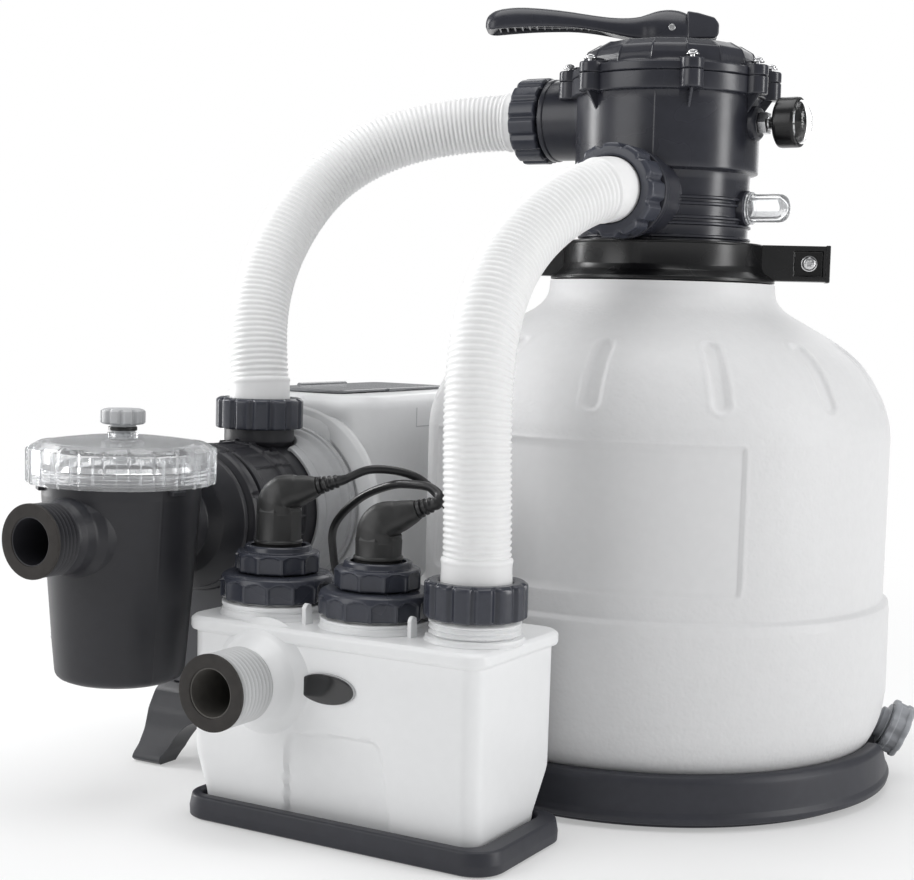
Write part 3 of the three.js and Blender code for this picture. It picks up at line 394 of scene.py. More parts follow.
def frames(C):
    T = np.gradient(C, axis=0)
    T /= np.linalg.norm(T, axis=1)[:, None]
    a = np.array([0, 0, 1.0]) if abs(T[0][2]) < 0.9 else np.array([0, 1.0, 0])
    U = [np.cross(T[0], a)]
    U[0] /= np.linalg.norm(U[0])
    for i in range(1, len(C)):
        u = U[-1] - T[i] * (U[-1] @ T[i])
        U.append(u / np.linalg.norm(u))
    U = np.array(U)
    return T, U, np.cross(T, U)

def sweep(C, rad, seg=32, shape=None, cap=True):
    """skin round a centreline; rad is an array or number; shape(theta, i) may scale the ring"""
    C = np.asarray(C, float)
    T, U, W = frames(C)
    rad = np.full(len(C), rad, float) if np.isscalar(rad) else np.asarray(rad, float)
    th = 2 * math.pi * np.arange(seg) / seg
    G = np.zeros((len(C), seg, 3))
    for i in range(len(C)):
        rr = rad[i] * (shape(th, i) if shape else 1.0)
        G[i] = C[i] + (np.cos(th) * rr)[:, None] * U[i] + (np.sin(th) * rr)[:, None] * W[i]
    return ringgrid(G, cap, cap)

def bez(P, n=60):
    t = np.linspace(0, 1, n + 1)[:, None]
    P = np.array(P, float)
    u = 1 - t
    return u ** 3 * P[0] + 3 * u * u * t * P[1] + 3 * u * t * t * P[2] + t ** 3 * P[3]

def boxm(x0, x1, y0, y1, z0, z1):
    V = [(x, y, z) for z in (z0, z1) for y in (y0, y1) for x in (x0, x1)]
    F = [(0, 2, 3, 1), (4, 5, 7, 6), (0, 1, 5, 4), (2, 6, 7, 3), (0, 4, 6, 2), (1, 3, 7, 5)]
    return np.array(V, float), F

def prism(P, z0, z1):
    m = len(P)
    V = [(p[0], p[1], z0) for p in P] + [(p[0], p[1], z1) for p in P]
    F = [tuple(range(m))[::-1], tuple(range(m, 2 * m))]
    F += [(i, (i + 1) % m, m + (i + 1) % m, m + i) for i in range(m)]
    return np.array(V, float), F

def thread(r0, r1, s0, s1, pitch, n=6):
    """profile points of a run of rounded thread ridges from s0 to s1"""
    out = []
    k = int(round((s1 - s0) / pitch))
    for i in range(k):
        for j in range(n):
            t = j / n
            out.append((r0 + (r1 - r0) * (0.5 - 0.5 * math.cos(2 * math.pi * t)) ** 0.8, s0 + (i + t) * (s1 - s0) / k))
    out.append((r0, s1))
    return out

X, NX, Y, NY, Z = (1, 0, 0), (-1, 0, 0), (0, 1, 0), (0, -1, 0), (0, 0, 1)

# ------------------------------------------------------------------ sand tank
PANEL_A = (-133.5, -47.0)      # azimuths of the label recess
PANEL_Z = (180.0, 296.5)
def build_tank():
    low = [(0, 8), (120, 8.5)] + cr([(120, 8.5), (152, 10.5), (173, 18), (186, 30), (196, 46), (202.2, 63), (205, 82)], 8)[1:]
    wall = fil([(205, 82), ((205, 150), 14), ((203.8, 157.6), 3), ((199.3, 160.6), 2.4), (199.4, 166), (199.4, 176)], 2, 5)[1:]
    mid = [(199.4, 178.6), (199.4, 180.0), (199.5, 181.6)] + dens([(199.5, 181.6), (199.8, 294.6)], 5)[1:] + [(199.8, 296.0), (199.8, 297.4)]
    top = cr([(199.8, 297.4), (197.6, 312), (190, 332), (175, 355.5), (155, 373), (128, 389), (108, 400.5), (99.2, 411), (97, 424)], 16)[1:]
    P = low + wall + mid + top + [(80, 424.2), (0, 424.2)]
    P = dens(P[:2], 60) + P[2:]
    seg = 720
    prof = np.array(P)
    # arc length along the shoulder, for the oblong dents
    ds = np.r_[0, np.cumsum(np.linalg.norm(np.diff(prof, axis=0), axis=1))]
    nrm = np.gradient(prof, axis=0); nrm = np.stack([nrm[:, 1], -nrm[:, 0]], 1)
    nrm /= np.maximum(np.linalg.norm(nrm, axis=1), 1e-9)[:, None]
    s_lo = float(np.interp(322, prof[8:-2, 1], ds[8:-2])); s_hi = float(np.interp(375, prof[8:-2, 1], ds[8:-2]))
    mask = {}
    def mod(Rr, Zz, TH):
        A = np.degrees(TH); A = np.where(A > 180, A - 360, A)
        # dents
        best = np.full(A.shape, 99.0)
        for k in range(12):
            a = -82.5 + 30 * k
            d = ((A - a + 180) % 360) - 180
            lat = d * D2R * Rr
            s = ds[:, None]
            along_ = np.clip(s, s_lo + 7, s_hi - 7)
            best = np.minimum(best, np.hypot(lat, s - along_))
        deep = 2.6 * sm((8.4 - best) / 4.4) - 0.7 * np.exp(-((best - 9.4) / 1.7) ** 2)
        deep = np.where(Zz > 300, deep, 0)
        Rr = Rr - deep * nrm[:, :1]; Zz = Zz - deep * nrm[:, 1:]
        # label recess
        ea = np.minimum(A - PANEL_A[0], PANEL_A[1] - A) * D2R * 199.6
        ez = np.minimum(Zz - PANEL_Z[0], PANEL_Z[1] - Zz)
        rc = 4.0
        e = np.where((ea < rc) & (ez < rc), rc - np.hypot(np.maximum(rc - ea, 0), np.maximum(rc - ez, 0)), np.minimum(ea, ez))
        inside = sm((e + 0.2) / 1.9)
        Rr = Rr - 1.5 * inside + 0.5 * np.exp(-((e + 1.2) / 1.1) ** 2) * ((Zz > 170) & (Zz < 305))
        # the blow-moulding is not perfectly round
        Rr = Rr + np.where(Zz < 400, 0.35 * np.sin(3 * TH + Zz / 60) + 0.2 * np.sin(7 * TH + Zz / 35), 0) * np.clip((400 - Zz) / 60, 0, 1)
        smooth_zone = (Zz > 404) | (Zz < 34)
        mask["v"] = (1 - sm((e - 0.5) / 1.5)) * np.where(smooth_zone, 0.25, 1.0)
        return Rr, Zz
    part = lathe(P, seg, mod)
    mv = []
    axis = prof[:, 0] < 1e-6
    for i in range(len(P)):
        mv.extend([0.2] if axis[i] else mask["v"][i].tolist())
    obj("tank_body", part, "tank", R0, ["tank_shell"], attr=("rough_mask", mv), angle=50)
build_tank()

DAZ, DR, DZ = 20.0, 189.0, 55.0
DDIR = (math.cos(23 * D2R) * math.cos(DAZ * D2R), math.cos(23 * D2R) * math.sin(DAZ * D2R), -math.sin(23 * D2R))
DAT = (DR * math.cos(DAZ * D2R), DR * math.sin(DAZ * D2R), DZ)
DF = along(DAT, DDIR)

def build_base():
    P = fil([((200, 0), 2), ((200, 5), 1), ((210.2, 5.2), 1.5), ((211.4, 10), 2), ((209.2, 14), 1.5), ((207.8, 37), 4), ((204.5, 42), 4), ((195.5, 42), 3), ((189, 31), 3), ((176.5, 18), 4), ((153, 8), 2), ((118, 6.6), 1), ((118, 0), 1)], 2, 5, closed=True)
    P = dens(P + [P[0]], 4)[:-1]
    def mod(Rr, Zz, TH):
        d = TH - DAZ * D2R
        s = Rr * np.cos(d); t = Rr * np.sin(d)
        t = np.where(t < 0, t * 0.55, t)          # the hollow runs out softly towards the front
        ok = np.cos(d) > 0.5
        h = DZ - (s - DR) * math.tan(23 * D2R)
        zc = np.where((np.abs(t) < 29.5) & ok, h - np.sqrt(np.maximum(29.5 ** 2 - t * t, 0)) / math.cos(23 * D2R), 99)
        k = 4.0
        w = np.clip(0.5 + 0.5 * (zc - Zz) / k, 0, 1)
        zn = zc * (1 - w) + Zz * w - k * w * (1 - w)
        Zn = np.where((Rr > 160) & (zc < 90), np.minimum(Zz, zn), Zz)
        return Rr, np.maximum(Zn, np.where(Zz > 6, 6, Zz))
    obj("base_ring_skin", lathe(P, 720, mod), "tray", R0, ["base_ring"], angle=40)
    # floor of the base
    obj("base_floor_skin", lathe(fil([(0, 0.2), (119, 0.2), (119, 6.2), (0, 6.2)], 0.8), 96), "tray", R0)
build_base()

def build_drain():
    P = fil([(6, -20), (10.9, -20), (10.9, 12.9), ((13.4, 13.2), 1), (13.4, 18.2), ((18, 18.4), .8)], 0.5) + thread(16.4, 17.9, 19.6, 31, 2.6) + fil([(16.4, 31.4), ((16.4, 32), .5), ((6, 32), .5), (6, 0)], 0.4)
    obj("drain_spigot", lathe(P, 72), "capgrey", R0, ["drain_outlet"], T=DF)
    n = 8
    Pc = fil([((18.4, 20.2), .5), ((23.4, 20.2), 1.4), ((23.6, 24.6), .6), ((22.4, 25.6), .5), ((22.4, 31.4), .5), ((23.6, 32.4), .6), ((23.4, 37), 2.0), ((17.5, 37), 1.2), ((15, 34.6), 1.2), (0, 34.6)], 1) + [(0, 32.5), (18.4, 32.5)]
    def mod(Rr, Zz, TH):
        g = lobes(TH, n, 0.30) * np.clip((Rr - 18.7) / 1.8, 0, 1)
        poly = math.cos(math.pi / n) / np.cos(((TH + math.pi / n) % (2 * math.pi / n)) - math.pi / n)
        return Rr - 2.0 * g, Zz
    obj("drain_cap_skin", lathe(Pc[:-2] + [(0, 32.5), (18.4, 32.5)], 240, mod), "capgrey", "drain_cap_body", ["drain_cap"], T=DF, angle=40)
build_drain()

# ------------------------------------------------------------------ clamp band
CL = 20.0
def build_clamp():
    P = fil([(77.3, 425.1), ((97, 425.1), .5), ((96.8, 428), .7), ((88.6, 433.4), 3), ((86.2, 438), 3), ((86, 455.5), 1), ((87.0, 456.4), .6), ((86.6, 458), .8), ((74.5, 458), .8), (74.5, 452.6), (81.3, 451), (81.3, 432.4)], 0.8, 4, closed=True)
    for nm, a0, node in (("front", CL + 180, "clamp_front"), ("rear", CL, "clamp_rear")):
        s = -1 if nm == "front" else 1
        band = lathe(P, 150, None, a0 + 0.55, a0 + 179.45)
        parts = [band]
        o = obj("clamp_band_" + nm, join(*parts), "black", R0, [node], angle=34)
        for side, T in (("right", rotz(CL)), ("left", rotz(CL + 180))):
            f = s if side == "right" else -s           # this half lies on +Y (1) or -Y (-1) of the ear frame
            y_in, y_out = 0.8 * f, 13 * f
            x0, x1, z0, z1 = 82, 142, 427.6, 458
            px0, px1, pz0, pz1 = 112.5, 136.5, 432, 453.6
            yp = 7.6 * f
            V = [(x0, y_in, z0), (x1, y_in, z0), (x1, y_in, z1), (x0, y_in, z1), (x0, y_out, z0), (x1, y_out, z0), (x1, y_out, z1), (x0, y_out, z1),
                 (px0, y_out, pz0), (px1, y_out, pz0), (px1, y_out, pz1), (px0, y_out, pz1), (px0, yp, pz0), (px1, yp, pz0), (px1, yp, pz1), (px0, yp, pz1)]
            F = [(0, 1, 2, 3), (0, 1, 5, 4), (1, 2, 6, 5), (2, 3, 7, 6), (3, 0, 4, 7), (4, 5, 9, 8), (5, 6, 10, 9), (6, 7, 11, 10), (7, 4, 8, 11),
                 (8, 9, 13, 12), (9, 10, 14, 13), (10, 11, 15, 14), (11, 8, 12, 15), (12, 13, 14, 15)]
            obj("clamp_ear_%s_%s" % (nm, side), (np.array(V, float), F), "black", R0, T=T, bevel=1.1)
            # end lip
            obj("clamp_lip_%s_%s" % (nm, side), boxm(138.6, 142.6, min(y_in, y_out * 1.03), max(y_in, y_out * 1.03), 427.0, 458.6), "black", R0, T=T, bevel=0.9)
    def hexcut(Rr, Zz, TH):
        hx = 1 / np.cos(((TH + math.pi / 6) % (math.pi / 3)) - math.pi / 6)
        return np.where(Rr < 2.3, Rr * hx, Rr), Zz
    for side, T, f in (("right", rotz(CL), -1), ("left", rotz(CL + 180), 1)):
        Tm = T @ Matrix.Translation((125, 0, 443)) @ Matrix.Rotation((90 if f < 0 else -90) * D2R, 4, "X")
        H = [(0, 10.2), (1.9, 10.2), (2.0, 13.2)] + fil([(2.4, 13.4), ((5.2, 12.9), 1.6), ((5.8, 10.6), .6), ((5.8, 9.4), .4), (7.0, 9.2), ((7.0, 8.2), .4), (3, 8.2)], .5) + [(3, -15.5), (0, -16)]
        obj("clamp_bolt_%s_skin" % side, lathe(H, 96, hexcut), "steel", R0, ["clamp_bolt_" + side], T=Tm, angle=40)
        nutp = fil([(3.2, -9.2), ((5.6, -9.2), .6), ((5.6, -13), .8), (3.2, -13)], .4, closed=True)
        obj("clamp_nut_%s_skin" % side, lathe(nutp, 96, lambda a, b, t: (np.where(a > 4, a / np.cos(((t + math.pi / 6) % (math.pi / 3)) - math.pi / 6), a), b)), "steel", R0, T=Tm, angle=40)
build_clamp()

# ------------------------------------------------------------------ multiport valve
FL, FF, FR = along((0, 0, 567), NX), along((4, 0, 495), NY), along((0, 0, 545), Y)
LUGS = [20.0, 65.0, 110.0, 155.0, 200.0, 243.0, 305.0, 350.0]
def lugshape(TH, r0=84.0, c=86.0, q=9.5):
    A = np.degrees(TH)
    D = np.stack([(A - q_ + 180) % 360 - 180 for q_ in LUGS])
    t = np.take_along_axis(D, np.abs(D).argmin(0)[None], 0)[0] * D2R
    x = c * np.sin(t)
    r = np.where((np.abs(x) < q) & (np.abs(t) < 0.5), c * np.cos(t) + np.sqrt(np.maximum(q * q - x * x, 0)), 0)
    k = 3.0
    h = np.clip(0.5 + 0.5 * (r - r0) / k, 0, 1)
    return r0 * (1 - h) + np.maximum(r, 1) * h + k * h * (1 - h), np.abs(x)

def build_valve():
    neck = []
    for zc in (456.5, 472.5, 489.0):
        for q in (0, 5.2):
            neck += [(72.2, zc + q - 1.5), ((74.6, zc + q - 0.9), .6), ((74.6, zc + q + 0.9), .6), (72.2, zc + q + 1.5)]
    outer = [(62, 441.4), (80, 441.4), ((80, 450.2), .5), ((73, 451.6), .8), (72.2, 452.4)] + neck + [(72.2, 510), ((72.6, 516.5), 2), ((79, 518.2), 1.6), (79, 524), (79, 579.5)]
    P = fil(outer, 0.5, 3)
    P = dens(P, 6)
    flange = fil([(79, 579.5), ((79.6, 580.9), .8), ((84, 581.2), 1.6), ((84, 595.4), .8), ((83, 596), .5), (72, 596)], 1.2, 4)
    P = P + flange[1:] + [(72, 560), (72, 524), (61, 514), (61, 441.4)]
    def mod(Rr, Zz, TH):
        Lr, _ = lugshape(TH)
        w = np.clip((Rr - 79) / 3.0, 0, 1) * (Zz > 578)
        R2 = np.where(w > 0, Rr + (Lr - 84) * w, Rr)
        # vertical parting line and light facets of the wall
        for a in (-75.0, 105.0):
            d = ((np.degrees(TH) - a + 180) % 360) - 180
            R2 = R2 + np.where((Zz > 453) & (Zz < 580) & (Rr > 72), 0.45 * np.exp(-(d / 0.35) ** 2), 0)
        return R2, Zz
    def port(T, a, b, bore=19.0, rs=35.5, r2=None):
        r2 = r2 or rs
        k = min(97.4, b - 21)
        Q = [(bore, a), (rs, a)] + dens([(rs, a), (rs, k - 0.8), (rs, k)], 3)[1:] + fil([(rs, k + 0.1), ((r2, k + 0.6), .3), ((r2, b - 18.4), 1.0), (30.0, b - 18.3)], .4)[1:] + fil([(29.4, b - 18), ((30.4, b - 17), .6), (30.4, b - 14.8)], .5) + thread(28.9, 30.5, b - 14.6, b - 2.2, 3.1) + fil([(28.9, b - 1.6), ((28.7, b), .5), ((bore, b), .5), (bore, b - 8)], .4)
        return tf(lathe(Q, 128), T)
    pl = port(FL, 70, 128.5)
    clip = (np.hypot(pl[0][:, 0], pl[0][:, 1]) < 97.2) & (pl[0][:, 2] > 595.8)
    pl[0][clip, 2] = 595.8
    collar_l = tf(lathe(fil([((30, 104.4), .3), ((35.8, 104.4), .6), ((36.5, 105.4), .6), ((36.5, 109.2), .8), ((30, 110.2), .5)], .6, 4, closed=True), 128), FL)
    collar_f = tf(lathe(fil([((30, 87.4), .3), ((36.4, 87.4), .6), ((37.6, 91), 2), ((37.8, 97.2), .9), ((30, 97.9), .5)], .6, 4, closed=True), 128), FF)
    collar_r = tf(lathe(fil([((30, 88), .3), ((35.6, 88), 1), ((36.4, 97.2), 1), (30, 97.8)], .8, 4, closed=True), 96), FR)
    boss_g = tf(lathe(fil([(6.4, 70), (14.8, 70), ((14.8, 82), .5), ((12.6, 84.2), 1), ((6.4, 84.2), .3)], .5, 4, closed=True), 64), along((0, 0, 559), X))
    boss_s = tf(lathe(fil([(9.9, 64), (15, 64), ((15, 76.4), .8), ((9.9, 77.5), .4)], .5, 4, closed=True), 64), along((0, 0, 488), X))
    # reinforcement rib between body and left port, built as web but not joined into the skin
    web = tf(boxm(77, 100, -2.2, 2.2, -27.6, -25.2), None)
    obj("valve_body_skin", join(lathe(P, 720, mod), pl, port(FF, 60, 115.5, rs=36.2), port(FR, 70, 115.5), collar_l, collar_f, collar_r, boss_g, boss_s),
        "dark", R0, ["valve_body"], angle=36)
    # small gussets under the flange, between lugs and wall
    gs = []
    for i in range(8):
        a = LUGS[i]
        tri = np.array([(78.6, -1.1, 566), (78.6, 1.1, 566), (78.6, -1.1, 581.6), (78.6, 1.1, 581.6), (89, -1.1, 581.6), (89, 1.1, 581.6)], float)
        gs.append(tf((tri, [(0, 2, 4), (1, 5, 3), (0, 1, 3, 2), (2, 3, 5, 4), (0, 4, 5, 1)]), rotz(a)))
    obj("valve_gussets", join(*gs), "dark", R0, bevel=0.4, bseg=2)

    # cover
    c0 = 596.35
    Q = fil([(70, c0), ((83.2, c0), .4), ((84, c0 + 0.8), .5), ((84, 603.2), 1.0), ((80.5, 604.6), 1.5), ((76.2, 604.8), 1.2), ((74.6, 612), 2), ((71.4, 619.2), 4), ((60.5, 625.6), 4), ((34, 629), 3), ((9.5, 629), .4), ((9.5, 624.6), .3), (33, 624.5), (60, 621.5), (70, 614)], 1, 5, closed=True)
    Q = dens(Q + [Q[0]], 3.0)[:-1]
    def cmod(Rr, Zz, TH):
        Lr, lx = lugshape(TH)
        outerz = (Zz < 606) & (Rr > 75)
        w = np.clip((Rr - 79.5) / 3.0, 0, 1) * outerz
        R2 = np.where(w > 0, Rr + (Lr - 84) * w, Rr)
        # raised pads round the screws
        pad = sm((Lr - 85.2) / 2.5) * outerz
        Z2 = Zz + 2.0 * pad * sm((Zz - 602) / 2.0)
        # sixteen flat panels with a fine raised seam at each corner
        n = 16
        ph = (TH + math.pi / n) % (2 * math.pi / n) - math.pi / n
        poly = np.cos(math.pi / n) / np.cos(ph)
        wz = np.clip((Zz - 604.6) / 2, 0, 1) * np.clip((Rr - 36) / 20, 0, 1)
        R2 = R2 * (1 + (poly - 1) * wz * 0.9)
        ph2 = np.degrees((TH + math.pi / n + math.pi / n) % (2 * math.pi / n) - math.pi / n)
        seam = np.exp(-(ph2 / 0.42) ** 2) * wz
        return R2 + 0.55 * seam, Z2 + 0.25 * seam
    top_ring = lathe(fil([((24.2, 628.4), .4), ((26.5, 628.4), .5), ((26.5, 630.4), .7), ((24.2, 630.4), .5)], .5, 4, closed=True), 96)
    # straps from the panels down to the pads
    bars = []
    for i in range(8):
        a = LUGS[i]
        bars.append(tf(boxm(72, 82, -1.6, 1.6, 603.4, 609.5), rotz(a)))
    obj("valve_cover_skin", join(lathe(Q, 1024, cmod), top_ring), "dark", R0, ["valve_cover"], angle=32)
    obj("valve_cover_straps", join(*bars), "dark", R0, bevel=0.9)
    for i in range(8):
        a = LUGS[i] * D2R
        T = rotz(37 * i, (86.5 * math.cos(a), 86.5 * math.sin(a), 0))
        S = [(0, 609.6), (1.1, 609.6), (1.3, 611.6)] + fil([(1.8, 611.9), ((3.9, 611.0), 1.4), ((4.3, 608.7), .5), ((5.6, 608.5), .3), ((5.6, 607.6), .3), (2, 607.6)], .4) + [(2, 590), (0, 590)]
        def cross(Rr, Zz, TH):
            return np.where((Rr < 1.5) & (Zz > 609), Rr * (1 + 0.6 * np.cos(2 * TH) ** 4), Rr), Zz
        node = ["cover_screw_%d" % (i // 2 + 1)] if i % 2 == 0 else []
        obj("cover_screw_skin_%d" % (i + 1), lathe(S, 48, cross), "steel", R0, node, T=T)
build_valve()

# lever, hinge block and pin
def build_handle():
    st = [  # x, bottom, top, half width, cavity depth, superellipse power
        (-17, 632.6, 651.5, 13.5, 0, 2.6), (-13, 632.0, 655.0, 16.2, 0, 2.3), (-6, 631.8, 657.6, 17.0, 0, 2.1), (3, 631.8, 658.4, 17.0, 0, 2.0), (12, 631.8, 657.2, 16.0, 0, 2.05),
        (20, 631.8, 654.6, 13.6, 0, 2.2), (28, 632.2, 652.2, 11.6, 0, 2.4), (40, 633.4, 650.9, 10.8, 0, 2.5), (55, 635.8, 650.9, 10.9, 0.2, 2.6), (70, 638.0, 652.0, 11.7, 2.0, 2.6),
        (85, 639.6, 653.6, 12.8, 5.0, 2.6), (100, 640.4, 655.3, 14.2, 6.2, 2.6), (120, 640.4, 657.0, 16.0, 6.6, 2.7), (140, 639.8, 658.0, 17.4, 6.8, 2.7), (155, 638.9, 658.0, 18.4, 6.6, 2.7),
        (168, 637.9, 656.8, 19.0, 5.2, 2.6), (176, 637.2, 655.0, 18.6, 2.4, 2.5), (181, 637.2, 652.6, 16.6, 0.3, 2.4), (184.4, 638.2, 649.8, 13.4, 0, 2.3), (186, 640.2, 646.6, 8.0, 0, 2.2)]
    st = np.array(cr(st, 7))
    st[:, 0] = np.where(st[:, 0] > 22, 22 + (st[:, 0] - 22) * 0.8415, st[:, 0])
    rings = []
    for x, zb, zt, hw, dc, pw in st:
        t = 2.6
        a = np.linspace(0, math.pi, 41)
        c, s = np.cos(a), np.sin(a)
        y = hw * np.sign(c) * np.abs(c) ** (2 / pw); z = zb + 1.2 + (zt - zb - 1.2) * np.abs(s) ** (2 / pw)
        top = np.stack([y, z], 1)
        b = [(-hw + 0.35, zb + 0.35), (-hw + 1.0, zb)]
        wi = max(hw - t - 0.6, 0.6)
        inner = [(-wi - 0.6, zb), (-wi, zb + 0.5 * min(dc, 1)), (-wi + 0.5, zb + dc)] + [(-wi * k, zb + dc) for k in (0.6, 0.2, -0.2, -0.6)] + [(wi - 0.5, zb + dc), (wi, zb + 0.5 * min(dc, 1)), (wi + 0.6, zb)]
        b2 = [(hw - 1.0, zb), (hw - 0.35, zb + 0.35)]
        ring = np.array(top.tolist() + b + inner + b2)
        rings.append(np.column_stack([-np.full(len(ring), x), ring[:, 0], ring[:, 1]]))
    parts = [ringgrid(np.array(rings))]
    # cross ribs inside the grip
    for k in range(13):
        x = 70.8 + 6.4 * k
        hw = float(np.interp(x, st[:, 0], st[:, 3])); zb = float(np.interp(x, st[:, 0], st[:, 1])); dc = float(np.interp(x, st[:, 0], st[:, 4]))
        parts.append(boxm(-x - 0.7, -x + 0.7, -hw + 2.4, hw - 2.4, zb + 1.4, zb + dc + 0.6))
    parts.append(boxm(-151, -71, -0.8, 0.8, 641.4, 647.2))
    obj("handle_skin", join(*parts), "dark", "lever", ["handle"], T=rotz(25), angle=40)
    # heel: two cheeks with a slot between them
    for s in (-1, 1):
        ch = prism([(13.5, 632.2), (37.0, 632.8), (40, 636), (40, 645.0), (36.0, 650.2), (22, 654.0), (12.5, 655.4)], 6.2 if s > 0 else -15.6, 15.6 if s > 0 else -6.2)
        Vv = ch[0][:, [0, 2, 1]]
        obj("handle_cheek_%s" % ("a" if s > 0 else "b"), (Vv, ch[1]), "dark", "lever", T=rotz(25), bevel=1.6)
    obj("handle_web", boxm(12, 33, -6.3, 6.3, 633, 640), "dark", "lever", T=rotz(25), bevel=0.8)
    obj("handle_pin_skin", lathe(fil([(0, -16.9), ((2.9, -16.9), .6), ((2.9, 16.9), .6), (0, 16.9)], .5), 32), "steel", "lever", ["handle_pin"],
        T=rotz(25) @ Matrix.Translation((0, 0, 641)) @ Matrix.Rotation(90 * D2R, 4, "X"))
build_handle()
obj("thrust_washer_skin", lathe(fil([((9.5, 629.45), .2), ((23.6, 629.45), .4), ((23.6, 630.9), .4), ((9.5, 630.9), .2)], .3, 3, closed=True), 96), "lgrey", "selector_ring", ["thrust_washer"])

# ------------------------------------------------------------------ gauge and sight glass
FG = along((0, 0, 559), X)
def build_gauge():
    case = fil([(4.6, 99.8), ((17.5, 99.8), 1), ((20.6, 101.6), 1.4), ((21, 104), .8), ((21, 116.5), .6), ((20.6, 118.8), .6), ((18.7, 118.8), .3), (18.7, 108.8), (4.6, 108.8)], .6, 5, closed=True)
    stem = fil([(0, 92.2), (4.5, 92.2), (4.5, 99.4), ((9, 99.6), .4), ((9, 100.4), .3), (0, 100.4)], .3, 3)
    obj("gauge_case_skin", join(tf(lathe(case, 128), FG), tf(lathe(stem, 64), FG)), "black", R0, ["gauge_case"])
    hexn = fil([(0, 84.4), ((9.4, 84.4), .7), ((9.4, 91.6), .7), (5.5, 91.8), (5.5, 93.2), (0, 93.2)], .5, 3)
    obj("gauge_hex", lathe(hexn, 192, lambda a, b, t: (np.where(a > 7, a * 0.93 / np.cos(((t + math.pi / 6) % (math.pi / 3)) - math.pi / 6), a), b)), "steel", R0, T=FG, angle=30)
    thr = [(0, 80)] + thread(5.2, 6.1, 80.5, 84.6, 1.3) + [(0, 84.8)]
    obj("gauge_thread", lathe(thr, 64), "steel", R0, T=FG)
    obj("gauge_dial", lathe(fil([(0, 108.9), (18.2, 108.9), ((18.2, 109.4), .2), (0, 109.4)], .2), 96), "dial", R0, T=FG)
    # scale marks; the dial reads from lower left round the top to lower right
    parts = []
    for k in range(31):
        a = (225 - 270 * k / 30) * D2R
        big = k % 5 == 0
        r0, r1, w = (12.6 if big else 14.2), 16.2, (0.42 if big else 0.2)
        c, s = math.cos(a), math.sin(a)
        Vt = [((r0 * c - w * s) , (r0 * s + w * c)), ((r0 * c + w * s), (r0 * s - w * c)), ((r1 * c + w * s), (r1 * s - w * c)), ((r1 * c - w * s), (r1 * s + w * c))]
        V = np.array([(h, p[0], p[1]) for h in (109.45, 109.75) for p in Vt], float)
        V = V + np.array([0, 0, 559.0])
        parts.append((V, [(0, 1, 2, 3), (4, 7, 6, 5), (0, 4, 5, 1), (1, 5, 6, 2), (2, 6, 7, 3), (3, 7, 4, 0)]))
    obj("gauge_marks", join(*parts), "ink", R0)
    lens = fil([(0, 129)], 0) + cr([(0, 129), (7, 128.3), (13.5, 126), (17.2, 122.6), (18.35, 119.4)], 8)[1:] + [(18.35, 114.2), (16.9, 114.2), (16.9, 119.2)] + cr([(16.9, 119.2), (15.6, 121.8), (12.4, 124.6), (6.5, 126.6), (0, 127.2)], 8)[1:]
    obj("gauge_lens_skin", lathe(lens, 96), "lens", R0, ["gauge_lens"], T=FG, angle=40)
    nd = [(-2.0, -5), (2.0, -5), (0.9, 0), (0.35, 14.4), (-0.35, 14.4), (-0.9, 0)]
    need = tf(prism(nd, 110.3, 110.9), FG)
    hub = tf(lathe(fil([(0, 110), (2.3, 110), ((2.3, 112), .5), (0, 112)], .4), 32), FG)
    obj("gauge_needle_skin", join(need, hub), "ink", "gauge_pointer", ["gauge_needle"])
    FS = along((0, 0, 488), X)
    g = cr([(0, 112.2), (4.5, 112), (8.6, 110.6), (11.2, 107.6), (12, 103.6)], 6) + [(12, 84), ((12.0), 80.5), (13.8, 80.2), (13.8, 77.7), (9.6, 77.7), (9.2, 64), (7.4, 64), (7.4, 101)] + cr([(7.4, 101), (6.8, 103.8), (4.2, 106), (0, 106.8)], 5)[1:]
    g = [tuple(q) for q in g]
    obj("sight_glass_skin", lathe(g, 96), "clear", R0, ["sight_glass"], T=FS, angle=36)
build_gauge()

# ------------------------------------------------------------------ union nuts, rear cap
def nutskin(name, body, node, s0, T, n=14, R=38.2, L=27.0, depth=2.5, flip=False):
    P = fil([((31.5, s0 + 0.2), .5), ((36.4, s0 + 0.2), .6), ((R, s0 + 1.2), 1.4), ((R, s0 + L - 1.8), 2.4), ((34.8, s0 + L), 1.6), ((29.0, s0 + L), .8), ((27.3, s0 + L - 1.2), .8), ((27.3, s0 + 23.3), .3), ((31.5, s0 + 22.8), .3)], .6, 5, closed=True)
    P = dens(P + [P[0]], 3)[:-1]
    def mod(Rr, Zz, TH):
        g = lobes(TH, n, 0.50)
        w = np.clip((Rr - 33.5) / 3.2, 0, 1)
        return Rr - depth * g * w, Zz
    obj(name, lathe(P, 560, mod), "nut", body, [node], T=T, angle=42)
FP, FC = along((-304, -172, 0), Z), along((-10, -302, 0), Z)
nutskin("nut_valve_left_skin", "nut_valve_left_body", "nut_valve_left", 112, FL)
nutskin("nut_valve_front_skin", "nut_valve_front_body", "nut_valve_front", 99, FF, n=12, depth=3.0)
nutskin("nut_pump_outlet_skin", "nut_pump_outlet_body", "nut_pump_outlet", 287, FP)
nutskin("nut_cell_hose_skin", "nut_cell_hose_body", "nut_cell_hose", 171.8, FC)
